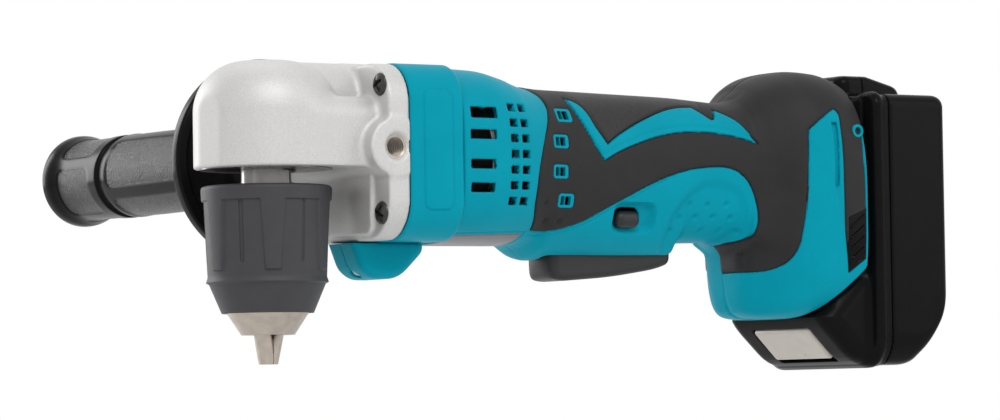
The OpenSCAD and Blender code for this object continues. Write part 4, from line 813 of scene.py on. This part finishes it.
STATIONS = np.array([
    [63.55, 109.5, 44.0, 76.7, 35.3, 3.2, 3.2], [80, 109.2, 44.0, 76.6, 35.0, 2.9, 2.9],
    [92, 107.2, 44.0, 75.6, 33.7, 2.6, 2.6], [98, 105.4, 44.0, 74.7, 32.1, 2.5, 2.5],
    [103, 104.0, 43.9, 74.0, 30.5, 2.5, 2.4], [105.5, 103.6, 43.0, 73.7, 29.8, 2.5, 2.3],
    [108, 103.3, 40.8, 73.5, 29.1, 2.5, 2.2], [110.5, 103.1, 39.0, 73.4, 28.5, 2.5, 2.2],
    [113, 102.9, 38.5, 73.3, 27.8, 2.5, 2.2],
    [130, 102.5, 38.5, 72.9, 25.2, 2.5, 2.3], [150.3, 102.0, 38.5, 72.7, 23.4, 2.5, 2.4],
    [170.0, 101.5, 38.5, 72.6, 22.6, 2.5, 2.4], [173.0, 101.4, 39.4, 72.5, 22.5, 2.5, 2.4],
    [177.5, 101.2, 43.6, 72.5, 22.4, 2.5, 2.5], [182, 100.9, 44.0, 72.4, 22.3, 2.5, 2.5],
    [190.1, 100.3, 44.2, 72.3, 22.2, 2.5, 2.5], [200, 99.7, 44.2, 71.5, 22.2, 2.5, 2.5],
    [203.2, 100.3, 41.0, 70.5, 22.2, 2.5, 2.7], [204.4, 100.9, 31.0, 69.8, 22.2, 2.5, 3.2],
    [205.6, 101.6, 23.5, 69.0, 22.5, 2.5, 4.0], [208.0, 103.4, 18.6, 68.0, 23.8, 2.6, 4.6],
    [213.9, 108.0, 16.4, 66.0, 27.8, 2.8, 4.8], [222, 111.4, 15.95, 64.5, 33.6, 2.9, 4.6],
    [230.5, 112.7, 15.95, 64.3, 37.3, 2.9, 4.2], [238.8, 112.3, 15.95, 64.1, 38.3, 2.8, 4.0],
    [246.9, 110.0, 15.95, 63.0, 38.3, 2.7, 4.0],
])
NARROW = np.array([(199.5, 1.0), (202.5, 0.74), (204.4, 0.58), (206, 0.6), (208, 0.69), (210, 0.76),
                   (212, 0.83), (216, 0.93), (224, 1.0)])
BODY_X = (STATIONS[0, 0], STATIONS[-1, 0])
RUBBER = outline(
    [(105.2, 126), (105.4, 104), (107.3, 99.5), (107.6, 94.8), (105.9, 89.9), (102.2, 82.1), (99.2, 72.7),
     (98.2, 65.3), (98.3, 58.0), (100.2, 52.6), (101.6, 48.6)],
    [(101.6, 48.6), (108.9, 48.6), (117.4, 50.2), (125.5, 53.0), (133.9, 57.2), (142.8, 61.3), (154.5, 66.6),
     (164.1, 70.2), (173.6, 72.6), (183.1, 73.8), (190.3, 73.9), (196.1, 72.4), (200.9, 68.9), (203.9, 63.5),
     (205.3, 56.8), (205.0, 51.5), (203.2, 47.0), (200.2, 44.9)],
    [(200.2, 44.9), (198.5, 40.0)],
    [(198.5, 40.0), (198.5, 34.0)],
    [(198.5, 34.0), (203.4, 34.0), (206.6, 33.9), (211.5, 34.6), (215.7, 37.4), (218.4, 42.1), (219.6, 49.7),
     (220.7, 57.4), (221.4, 65.1), (222.2, 80.6), (223.0, 88.4)],
    [(223.0, 88.4), (227.0, 92.0), (231.5, 95.2), (234.6, 96.9)],
    [(234.6, 96.9), (236.2, 94.5), (235.8, 88.4), (235.5, 74.8), (235.5, 61.2), (235.8, 47.7), (238.0, 33.0)],
    [(238.0, 33.0), (245.0, 38.6)],
    [(245.0, 38.6), (245.6, 60), (245.6, 84), (249, 94)],
    [(249, 94), (249, 126)],
    [(249, 126), (105.2, 126)],
)
FLASH = outline(
    [(119.6, 98.8), (124.0, 96.9), (126.8, 93.6), (129.5, 87.8), (134.2, 81.5)],
    [(134.2, 81.5), (141.2, 85.7), (152.3, 90.8), (163.9, 94.9), (172.4, 96.6), (179.8, 97.0)],
    [(179.8, 97.0), (183.2, 94.7), (186.6, 92.4), (188.7, 92.9), (190.2, 96.2)],
    [(190.2, 96.2), (195.3, 94.2), (199.7, 91.5), (203.0, 87.8), (206.2, 83.5)],
    [(206.2, 83.5), (198.8, 85.5), (189.5, 86.9), (180.0, 87.4), (170.3, 87.0), (160.4, 85.4), (150.4, 82.6),
     (140.2, 79.0), (132.7, 75.4)],
    [(132.7, 75.4), (129.3, 79.6), (125.8, 85.2), (122.2, 92.1), (119.6, 98.8)],
)
SCOOP = outline(
    [(165.0, 40.0), (163.0, 46.0), (164.6, 54.7), (169.6, 62.0), (176.0, 67.3), (182.9, 69.7), (191.5, 69.4),
     (197.5, 67.2), (201.4, 62.5), (203.2, 57.0), (203.0, 50.0), (200.0, 40.0)],
    [(200.0, 40.0), (165.0, 40.0)],
)
WIDE_SLOTS = [((73.1, 91.6), (5.9, 2.1)), ((72.3, 83.4), (5.8, 1.75)), ((72.0, 72.5), (5.5, 1.75)),
              ((72.1, 63.8), (5.3, 1.75))]
SMALL_SLOTS = [(x, z) for z in np.linspace(93.9, 59.0, 7) for x in (86.4, 91.9)]
SMALL_SLOT_HALF = (1.9, 1.5)
FRAME_SLOTS = [(114.9, 92.0), (110.8, 81.9), (110.2, 70.6), (113.8, 59.9)]
FRAME_HALF = (4.0, 2.65)
FRAME_WINDOWS = [((-1.75, 0), (0.95, 1.6)), ((0.95, 0), (1.35, 1.6))]
FRAME_MIDDLE, FRAME_HALF_DEPTH = -0.85, 1.15
RECESS_SPOT, RECESS_HALF = (148.4, 54.0), (10.0, 6.0)
LEVER_HOLE, LEVER_HOLE_HALF = (146.0, 53.6), (6.1, 3.9)
BAY_X, BAY_HW, BAY_TOP_Z = (114.9, 175.4), 9.3, 52.0
GRAINED = outline(
    [(124.4, 99.6), (128.9, 93.0), (132.0, 87.2), (134.4, 82.6)],
    [(134.4, 82.6), (141.2, 86.7), (152.3, 91.8), (163.9, 95.9), (172.4, 97.6), (179.8, 98.0)],
    [(179.8, 98.0), (186.0, 99.5), (190.0, 126)],
    [(190.0, 126), (122.5, 126), (122.5, 104)],
)
CREASE = outline(
    [(101.6, 47.4), (108.9, 47.4), (117.4, 49.0), (125.5, 51.6), (133.9, 55.8), (142.8, 59.9), (154.5, 65.2),
     (166.0, 69.6), (185, 71)],
    [(185, 71), (185, 20)],
    [(185, 20), (96, 20)],
    [(96, 20), (101.6, 47.4)],
)
CREASE_X, CREASE_LOW_Z = ((98, 102), (158, 172)), 46.0
FRONT_PANEL = [(196, 30), (212.5, 30), (212.5, 40), (209.0, 46.5), (196, 46.5)]
BELL_PANEL = outline([(213.5, 126), (214.0, 112), (211.0, 106.0), (206.2, 101.5), (201.0, 100.2)],
                     [(201.0, 100.2), (196, 126)], [(196, 126), (213.5, 126)])
BELL_Z = (90, 96)
INSERT_SHAPE = [(236.6, 55.0), (245.6, 58.5), (245.6, 38.6), (238.0, 33.4), (236.4, 44.0)]
INSERT_RIB_STEP, INSERT_RIB_RISE, INSERT_RIB_SPOT, INSERT_RIB_HEIGHT = 4.2, 0.75, (238.0, 36.2), 0.8
INSERT_HEIGHT, INSERT_WALL = 0.45, 1.0
DIMPLES = [(103.9, 58.9), (106.3, 52.5), (112.2, 52.4)]
DOTS = [(175.4, 59.3), (183.9, 59.2), (192.6, 59.4), (170.9, 54.2), (179.1, 54.3), (187.4, 54.3),
        (195.6, 54.1), (167.6, 49.0), (175.8, 49.0), (184.2, 49.0), (192.7, 48.8), (200.4, 49.1)]
DENT_DEPTH = 0.9
STRAP_SPOT, STRAP_LIFT = (243.4, 88.2), 0.9
STRAP_RING = soft_outline([(1.5, -2.6), (2.5, -2.6), (2.5, 0.45), (1.5, 0.45)], [0, 0, 0.35, 0.35])
WELLS = [((141.0, 96.8), 10.6), ((181.6, 90.2), 12.7), ((194.9, 56.5), 13.8), ((218.5, 103.4), 15.2),
         ((216.7, 27.5), 19.1)]
WELL_R, WELL_FIT, WELL_WALL, WELL_SUNK, WELL_LEAST = 3.7, 0.02, 1.3, 1.2, 0.2
REAR_SLOT = [(232.2, 91.5), (234.6, 91.5), (233.4, 66.0), (231.6, 66.0)]
END_CUT, END_CUT_FROM_X = [(227.9, 17.4), (247.9, 36.4)], 219.9
PLATE_X, PLATE_HW, PLATE_Z, PLATE_RISE, PLATE_WALL = (64.4, 99.0), 40.0, 47.0, 0.033, 0.8
PLATE_LIFT, PLATE_EDGE_DEPTH = 0.15, 0.35
GUIDE_X, GUIDE_HW, GUIDE_TOP_Z = (230.7, 233.9, 246.6), 30.0, 103.4
GUIDE_FIT, GUIDE_END = 1.5, 0.5
LIP_X, LIP_Y = (242.3, 245.5), (26.6, 30.2)
NARROW_FROM_Z, NARROW_FADE = 47.5, 7.0
SHELL_WALL, RUBBER_WALL = 3.0, 1.6
FINE_RUNS = (((202, 209), 3), ((230.4, 237), 3), ((237, 246.5), 2))
POLE, POLE_MARGIN = math.pi / 2, 0.02


def narrow_share(x, z):
    """How far the lower half draws in at the skirt's front."""
    narrow = monotone(NARROW[:, 0], NARROW[:, 1], np.clip(x, NARROW[0, 0], NARROW[-1, 0]))
    return 1 - (1 - narrow) * smooth((NARROW_FROM_Z - z) / NARROW_FADE)


def section_at(x, is_upper):
    """Middle height, half width, half height and squareness at a station, of the half that is picked."""
    top, low, mid, hw, n_up, n_low = (monotone(STATIONS[:, 0], column, x) for column in STATIONS.T[1:])
    upper = is_upper(mid)
    return mid, hw, np.where(upper, top - mid, mid - low), np.where(upper, n_up, n_low)


def body_point(x, angle):
    """Point of the housing on the -Y side; angle runs from -90 degrees at the bottom to 90 at the top."""
    c, s = np.cos(angle), np.sin(angle)
    mid, hw, half, n = section_at(x, lambda mid: s > 0)
    z = mid + half * np.sign(s) * np.abs(s) ** (2 / n)
    y = -hw * np.abs(c) ** (2 / n) * narrow_share(x, z)
    return np.stack([x, y, z], axis=-1)


def skin_depth(x, z):
    """Distance of the smooth housing from its middle plane at a place of its side."""
    mid, hw, half, n = section_at(x, lambda mid: z > mid)
    return hw * (1 - np.clip(np.abs(z - mid) / half, 0, 1) ** n) ** (1 / n) * narrow_share(x, z)


def skin_angle(x, z):
    """The angle that body_point needs for a height."""
    mid, _, half, n = section_at(x, lambda mid: z > mid)
    return np.arcsin(np.sign(z - mid) * np.clip(np.abs(z - mid) / half, 0, 1) ** (n / 2))


def side_field(shape):
    """Turns a field over x, y and z into one over the housing's parameters."""
    def field(uv):
        return shape(*body_point(uv[:, 0], uv[:, 1]).T)
    return field


def slot_field(x, z, spot, half, r):
    """Positive inside a rounded slot."""
    return -rounded_box([x - spot[0], z - spot[1]], half, r)


def rubber_field(x, y, z):
    """Positive on the left half's rubber cover."""
    return np.minimum(polygon_field(x, z, RUBBER), -polygon_field(x, z, FLASH))


def front_field(x, y, z):
    return polygon_field(x, z, FRONT_PANEL)


def right_rubber_field(x, y, z):
    """The right half's cover stops short of the skirt's front."""
    return np.minimum(rubber_field(x, y, z), -front_field(x, y, z))


def plate_field(x, y, z):
    """Positive on the bare plate under the motor."""
    edge = PLATE_Z + PLATE_RISE * (x - PLATE_X[0]) - z
    return np.minimum(edge, -span_box([x, y], [PLATE_X, (-PLATE_HW, PLATE_HW)], 2.0))


def below_skirt(x, z):
    """Distance under the slanted end of the skirt."""
    (ax, az), (bx, bz) = END_CUT
    return -((z - az) * (bx - ax) - (x - ax) * (bz - az)) / math.hypot(bx - ax, bz - az)


def grain_field(x, y, z):
    return polygon_field(x, z, GRAINED)


def opening_field(x, y, z):
    """Positive in the vents, the rear slot, the lever's hole, the trigger's bay and below the skirt."""
    parts = [slot_field(x, z, spot, half, 0.5) for spot, half in WIDE_SLOTS]
    parts += [slot_field(x, z, spot, SMALL_SLOT_HALF, 0.5) for spot in SMALL_SLOTS]
    parts += [slot_field(x, z, spot, FRAME_HALF, 1.2) for spot in FRAME_SLOTS]
    parts.append(polygon_field(x, z, REAR_SLOT))
    parts.append(slot_field(x, z, LEVER_HOLE, LEVER_HOLE_HALF, 3.6))
    parts.append(np.minimum(-span_box([x, y], [BAY_X, (-BAY_HW, BAY_HW)], 2.0), BAY_TOP_Z - z))
    parts.append(np.where(x > END_CUT_FROM_X, below_skirt(x, z), -np.inf))
    return np.maximum.reduce(parts)


def well_field(x, y, z):
    """Positive in the round holes of the right half's screw wells."""
    return np.maximum.reduce([WELL_R - np.hypot(x - wx, z - wz) for (wx, wz), _ in WELLS])


def dents(x, z, spots, share, slope):
    """Depth of round dents; share sets how wide their floors are and slope how wide their sides."""
    return DENT_DEPTH * sum(smooth(share - np.hypot(x - sx, z - sz) / slope) for sx, sz in spots)


def body_relief(x, y, z, rubber, zone):
    """How far the skin stands out from the smooth housing; each groove has its depth and width beside it."""
    edge = np.abs(zone(x, y, z))
    beside_opening = np.minimum(opening_field(x, y, z), 0)
    relief = -groove(edge, 0.35, 0.5) - groove(beside_opening, 0.3, 0.6)
    relief -= groove(np.minimum(x - BODY_X[0], BODY_X[1] - x), 0.6, 0.8)
    if rubber:
        relief += 0.35 * smooth(edge / 0.9)
        relief -= groove(polygon_field(x, z, BELL_PANEL), 0.25, 0.6) * ramp_up(z, BELL_Z)
        return relief - dents(x, z, DIMPLES, 1.4, 1.2)
    flash = polygon_field(x, z, FLASH)
    inner = np.minimum(flash, polygon_field(x + 0.9, z - 2.3, FLASH))
    relief += 0.2 * smooth(flash / 0.6) + 0.45 * smooth((inner + 0.2) / 0.7) * (flash > 0)
    relief -= 1.5 * smooth(polygon_field(x, z, SCOOP) / 4.5)
    relief -= 2.6 * smooth((slot_field(x, z, RECESS_SPOT, RECESS_HALF, 4.0) + 0.4) / 2.2)
    start, end = CREASE_X
    fade = ramp_up(x, start) * (1 - ramp_up(x, end)) * (z > CREASE_LOW_Z)
    relief -= groove(polygon_field(x, z, CREASE), 0.45, 0.55) * fade
    relief -= groove(plate_field(x, y, z) + 0.35, 0.45, 0.5)
    return relief - dents(x, z, DOTS, 1.15, 1.5)


def skin_points(uv):
    """Points and outward normals of the smooth housing on the -Y side."""
    x, angle = uv.T
    base = body_point(x, angle)
    tiny = 0.01
    inner = np.clip(angle, -POLE + POLE_MARGIN, POLE - POLE_MARGIN)
    along = body_point(x + tiny, angle) - base
    normal = np.cross(along, body_point(x, inner + tiny) - body_point(x, inner))
    normal[np.abs(angle) > POLE - 1.5 * POLE_MARGIN, 1] = 0
    normal /= np.linalg.norm(normal, axis=1)[:, None] + 1e-12
    return base, normal


def body_shell():
    """The housing's halves, their rubber covers and the covers' grained parts, all cut from one sheet."""
    step_x, rows = ((0.8, 130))
    runs = [np.arange(*BODY_X, step_x), [BODY_X[1]]]
    runs += [np.arange(*span, step_x / finer) for span, finer in FINE_RUNS]
    t = np.linspace(-1, 1, rows)
    sheet = Sheet(np.unique(np.concatenate(runs).round(3)), POLE * np.sign(t) * np.abs(t) ** 0.9)
    left, right, opening, plate, grain, well, front = (side_field(f) for f in (
        rubber_field, right_rubber_field, opening_field, plate_field, grain_field, well_field, front_field))
    cuts = ((left, (-0.9, -0.45, 0.0, 0.45, 0.9)), (opening, (-0.6, -0.3, 0.0)),
            (plate, (-0.8, -0.35, 0.1)), (grain, (0.0,)), (well, (0.0,)), (front, (0.0,)))
    for field, levels in cuts:
        for level in levels:
            sheet.split(field, level)

    def drilled(p):
        return np.maximum(opening(p), well(p))

    pieces = (("shell", "teal", SHELL_WALL, "housing_", lambda p, rubber: -rubber(p)),
              ("grip", "rubber", RUBBER_WALL, "rubber_", lambda p, rubber: np.minimum(rubber(p), -grain(p))),
              ("grain", "grained_rubber", RUBBER_WALL, "", lambda p, rubber: np.minimum(rubber(p), grain(p))))
    halves = ((left, opening, rubber_field), (right, drilled, right_rubber_field))
    for name, finish, wall, node, inside in pieces:
        for (side, mirror), (rubber, holes, zone) in zip(SIDES, halves):
            uv, faces = sheet.part(lambda p: np.minimum(inside(p, rubber), -holes(p)))
            base, normal = skin_points(uv)
            points = base + normal * body_relief(*base.T, finish != "teal", zone)[:, None]
            piece = mesh_piece(name + "_" + side, points * [1, mirror, 1], faces[:, ::mirror], finish,
                               replaces=[node + side] if node else ())
            solidify(piece, wall)


# Trim of the main housing

def vent_frames():
    """Raised frames in the four vents of each side: a rounded ring with a bar across."""
    frames = []
    for sx, sz in FRAME_SLOTS:
        def field(x, y, z):
            ring = slot_field(x - sx, z - sz, (0, 0), FRAME_HALF, 1.3)
            for spot, half in FRAME_WINDOWS:
                ring = np.minimum(ring, -slot_field(x - sx, z - sz, spot, half, 0.3))
            out = -y - skin_depth(x, z)
            return smax(-ring, np.abs(out - FRAME_MIDDLE) - FRAME_HALF_DEPTH, 0.35)

        y = -skin_depth(np.array([sx]), np.array([sz]))[0]
        frames.append(surface_nets(field, (sx - 5, y - 4, sz - 4), (sx + 5, y + 6, sz + 4), mesh_step(0.22)))
    side_pieces("vent_frames", *joined(frames), "teal")


def bare_plate():
    """The plate under the motor, bent round the underside from one half to the other."""
    sheet = Sheet(np.arange(PLATE_X[0] - 0.5, PLATE_X[1] + 1, 0.7), np.linspace(-POLE, -0.3, 60))
    shape = side_field(plate_field)
    for level in (0.6, 0.3, 0.0):
        sheet.split(shape, level)
    uv, faces = sheet.part(shape)
    points, normal = skin_points(uv)
    points += normal * (PLATE_LIFT - PLATE_EDGE_DEPTH * (1 - smooth(shape(uv) / 0.6)))[:, None]
    halves = joined([(points, faces), (points * [1, -1, 1], faces[:, ::-1])])
    piece = mesh_piece("bare_plate", *halves, "plate")
    weld(piece, SHEET_WELD)
    solidify(piece, PLATE_WALL)


def pack_guide_field(x, y, z):
    """Walls inside the skirt that guide the pack: a back wall, a top and two sides with rail lips."""
    front, wall, end = GUIDE_X
    block = smax(np.abs(y) - skin_depth(x, z) + GUIDE_FIT, np.maximum(front - x, x - end), 0.4)
    channel = np.maximum(np.abs(y) - GUIDE_HW, np.maximum(wall - x, z - GUIDE_TOP_Z))
    lips = span_box([x, np.abs(y)], [LIP_X, LIP_Y], 0.3)
    return smax(smax(block, -np.maximum(channel, -lips), 0.3), below_skirt(x, z) + GUIDE_END, 0.3)


def ribbed_insert():
    """The black insert with slanted ribs at the skirt's rear edge."""
    def shape(xz):
        return polygon_field(xz[:, 0], xz[:, 1], INSERT_SHAPE)

    sheet = Sheet(np.arange(236, 246.6, 0.3), np.arange(32, 59.3, 0.3))
    for level in (0.5, 0.25, 0.0):
        sheet.split(shape, level)
    xz, faces = sheet.part(shape)
    x, z = xz.T
    edge = shape(xz)
    rise = z - INSERT_RIB_SPOT[1] - INSERT_RIB_RISE * (x - INSERT_RIB_SPOT[0])
    wave = np.abs(rise % INSERT_RIB_STEP - INSERT_RIB_STEP / 2)
    relief = INSERT_HEIGHT - groove(np.maximum(edge, 0), 0.4, 0.5)
    relief += INSERT_RIB_HEIGHT * smooth(1.6 - wave / 0.5) * smooth((edge - 1.0) / 0.4)
    points, normal = skin_points(np.stack([x, skin_angle(x, z)], axis=1))
    side_pieces("ribbed_insert", points + normal * relief[:, None], faces, "gloss_black", INSERT_WALL)


def strap_rings():
    y = skin_depth(*np.array(STRAP_SPOT)[:, None])[0] + STRAP_LIFT
    points, faces = revolve_y(closed(STRAP_RING) * [1, -1] - [0, y], 10, STRAP_SPOT)
    side_pieces("strap_ring", points, faces[:, ::-1], "teal")


def screw_wells():
    """Tubes of the right half's screw wells, from a floor up to just under the skin."""
    inner, outer = WELL_R + WELL_FIT, WELL_R + WELL_WALL
    tube = np.array([(inner, 0), (outer, 0), (outer, 1), (inner, 1)])
    for number, (spot, floor_y) in enumerate(WELLS, 1):
        points, faces = revolve_y(closed(tube), 10, spot)
        top = skin_depth(points[:, 0], points[:, 2]) - WELL_SUNK
        low = np.minimum(floor_y, top - WELL_LEAST)
        points[:, 1] = low + (top - low) * points[:, 1]
        mesh_piece("screw_well_%d" % number, points, faces, "teal")


def body_details():
    vent_frames()
    bare_plate()
    field_piece("pack_guide", pack_guide_field, (229.5, -38, 15), (248, 38, 112), 0.6, "teal")
    ribbed_insert()
    strap_rings()
    screw_wells()


# Chuck sleeve: six raised ribs under a plain collar, with a groove between each pair

SLEEVE_Z = (18.6, 29.5, 65.0)
SLEEVE_R = (16.8, 21.4, 22.4, 24.0)
SLEEVE_INSIDE = [(20.2, SLEEVE_Z[2]), (20.2, 60.0), (19.6, 30.0), (15.3, SLEEVE_Z[0] + 1.0),
                 (15.3, SLEEVE_Z[0])]
SLEEVE_TOP_R = 1.5
RIB_PITCH, RIB_PHASE, RIB_Z = 60.0, -114.1, (34.0, 59.4)
RIB_HALF_ANGLE, RIB_FLARE, RIB_DEPTH = 7.5, 3.9, 0.75
SPLIT_HALF_ANGLE, SPLIT_LOW_Z, SPLIT_DEPTH = 1.6, 36.6, 0.6
SLEEVE_TURN = 0.75


def chuck_sleeve():
    z_low, z_chamfer, z_top = SLEEVE_Z
    rib_low, rib_top = RIB_Z
    stops = [z_low, z_chamfer - 0.5, z_chamfer + 0.5, rib_low - 1, rib_low + 4, rib_top - 1, rib_top + 1,
             z_top]
    counts = (14, 9, 6, 34, 14, 16, 14)
    heights = np.unique(np.concatenate([np.linspace(*run) for run in zip(stops, stops[1:], counts)]))
    angles = np.arange(0, 360, SLEEVE_TURN)
    h, a = np.meshgrid(heights, angles, indexing="ij")
    cone = SLEEVE_R[0] + (SLEEVE_R[1] - SLEEVE_R[0]) * (h - z_low) / (z_chamfer - z_low)
    wall = SLEEVE_R[2] + (SLEEVE_R[3] - SLEEVE_R[2]) * (h - z_chamfer) / (z_top - z_chamfer)
    radius = cone + (wall - cone) * smooth((h - z_chamfer) / 0.8 + 0.5)
    local = (a - RIB_PHASE + RIB_PITCH / 2) % RIB_PITCH - RIB_PITCH / 2
    rib_half = RIB_HALF_ANGLE + RIB_FLARE * (h - rib_low) / (rib_top - rib_low)
    rib = smooth((rib_half - np.abs(local)) / 1.2 + 0.5) * smooth((h - rib_low) / 0.4 + 0.5)
    raised = np.maximum(rib, smooth((h - rib_top) / 0.5 + 0.5))
    split = smooth((SPLIT_HALF_ANGLE - np.abs(np.abs(local) - RIB_PITCH / 2)) / 0.8 + 0.5)
    split = split * smooth((rib_top - h) / 0.5) * smooth((h - SPLIT_LOW_Z) / 0.5)
    radius -= RIB_DEPTH * (1 - raised) * smooth((h - z_chamfer) / 2.5) + SPLIT_DEPTH * split
    rounding = np.clip((h - z_top) / SLEEVE_TOP_R + 1, 0, 1)
    radius -= SLEEVE_TOP_R * (1 - np.sqrt(1 - rounding ** 2))
    turn = np.radians(a)
    outside = np.stack([radius * np.cos(turn), radius * np.sin(turn), h], axis=-1).reshape(-1, 3)
    inside = [(radius[-1].mean(), z_top)] + SLEEVE_INSIDE + [(radius[0].mean(), z_low)]
    skins = joined([(outside, ring_faces(*h.shape)), revolve(inside, SLEEVE_TURN)])
    mesh_piece("sleeve_skin", *skins, "chuck_plastic", "sleeve", ["chuck_sleeve"])


# Stage, in metres

FLOOR_REACH, FLOOR_Z, FLOOR_COLOUR = 2.2, -0.1, (0.86, 0.86, 0.86)
FILL_LEVEL, BACKDROP_LEVEL = 0.71, 1.0
PART_MIDDLE, HANDLE_MIDDLE = (0.1, 0.0, 0.07), (0.03, 0.1, 0.08)
LAMPS = [
    ("key", (-0.25, -1.0, 1.0), PART_MIDDLE, (0.7, 0.5), 8),
    ("side", (0.95, -0.9, 0.5), PART_MIDDLE, (0.5, 0.9), 2.2),
    ("front", (-1.1, -0.1, 0.25), PART_MIDDLE, (0.3, 0.9), 0.4),
    ("rim", (-0.4, 1.2, 0.4), HANDLE_MIDDLE, (0.4, 0.8), 7),
    ("top", (0.2, 0.5, 1.2), PART_MIDDLE, (0.9, 0.5), 2.0),
]


def build_floor():
    corners = [(a * FLOOR_REACH, b * FLOOR_REACH, FLOOR_Z) for a, b in ((-1, -1), (1, -1), (1, 1), (-1, 1))]
    mesh = bpy.data.meshes.new("floor")
    mesh.from_pydata(corners, [], [(0, 1, 2, 3)])
    paint = make_material("floor_paint", FLOOR_COLOUR, (0.6, 0.7), mottle=0.01, mottle_scale=3)
    mesh.materials.append(paint)
    floor = bpy.data.objects.new("floor", mesh)
    bpy.context.scene.collection.objects.link(floor)


def build_light():
    """A white backdrop for what the camera sees or mirrors, a softer fill for the rest, and the lamps."""
    world = bpy.data.worlds.new("studio")
    world.use_nodes = True
    bpy.context.scene.world = world
    tree = world.node_tree
    back = tree.nodes["Background"]
    back.inputs["Color"].default_value = (1, 1, 1, 1)
    rays = tree.nodes.new("ShaderNodeLightPath")
    seen = rays.outputs["Is Camera Ray"]
    for kind in ("Is Glossy Ray", "Is Transmission Ray"):
        either = tree.nodes.new("ShaderNodeMath")
        either.operation = "MAXIMUM"
        tree.links.new(seen, either.inputs[0])
        tree.links.new(rays.outputs[kind], either.inputs[1])
        seen = either.outputs["Value"]
    level = tree.nodes.new("ShaderNodeMapRange")
    level.inputs["To Min"].default_value = FILL_LEVEL
    level.inputs["To Max"].default_value = BACKDROP_LEVEL
    tree.links.new(seen, level.inputs["Value"])
    tree.links.new(level.outputs["Result"], back.inputs["Strength"])
    for name, place, target, size, power in LAMPS:
        light = bpy.data.lights.new(name, "AREA")
        light.shape = "RECTANGLE"
        light.size, light.size_y = size
        light.energy = power
        lamp = bpy.data.objects.new(name, light)
        lamp.location = place
        lamp.rotation_euler = (Vector(target) - Vector(place)).to_track_quat("-Z", "Y").to_euler()
        bpy.context.scene.collection.objects.link(lamp)


# Camera of the photograph, fitted to known corners of the part; degrees and metres

CAMERA_YAW, CAMERA_LIFT, CAMERA_ROLL = 32.953, -2.631, -0.875
CAMERA_TARGET, CAMERA_DISTANCE, CAMERA_LENS = (0.10136, 0, 0.0575), 1.6519, 157.77


def build_camera():
    yaw, lift, roll = (math.radians(angle) for angle in (CAMERA_YAW, CAMERA_LIFT, CAMERA_ROLL))
    forward = Vector((math.sin(yaw) * math.cos(lift), math.cos(yaw) * math.cos(lift), -math.sin(lift)))
    level = Vector((math.cos(yaw), -math.sin(yaw), 0))
    rise = level.cross(forward)
    right = math.cos(roll) * level + math.sin(roll) * rise
    up = -math.sin(roll) * level + math.cos(roll) * rise
    data = bpy.data.cameras.new("camera")
    data.sensor_width = 36
    data.sensor_fit = "HORIZONTAL"
    data.lens = CAMERA_LENS
    data.clip_start, data.clip_end = 0.05, 20
    camera = bpy.data.objects.new("camera", data)
    turn = Matrix((right, up, -forward)).transposed().to_4x4()
    camera.matrix_world = Matrix.Translation(Vector(CAMERA_TARGET) - CAMERA_DISTANCE * forward) @ turn
    bpy.context.scene.collection.objects.link(camera)
    bpy.context.scene.camera = camera


dress_cad()
gear_housing()
flange_screws()
lamp_housing()
cover_shell()
body_shell()
body_details()
controls()
chuck_sleeve()
side_handle()
battery()
build_floor()
build_light()
build_camera()
bpy.context.scene.view_settings.view_transform = "Standard"
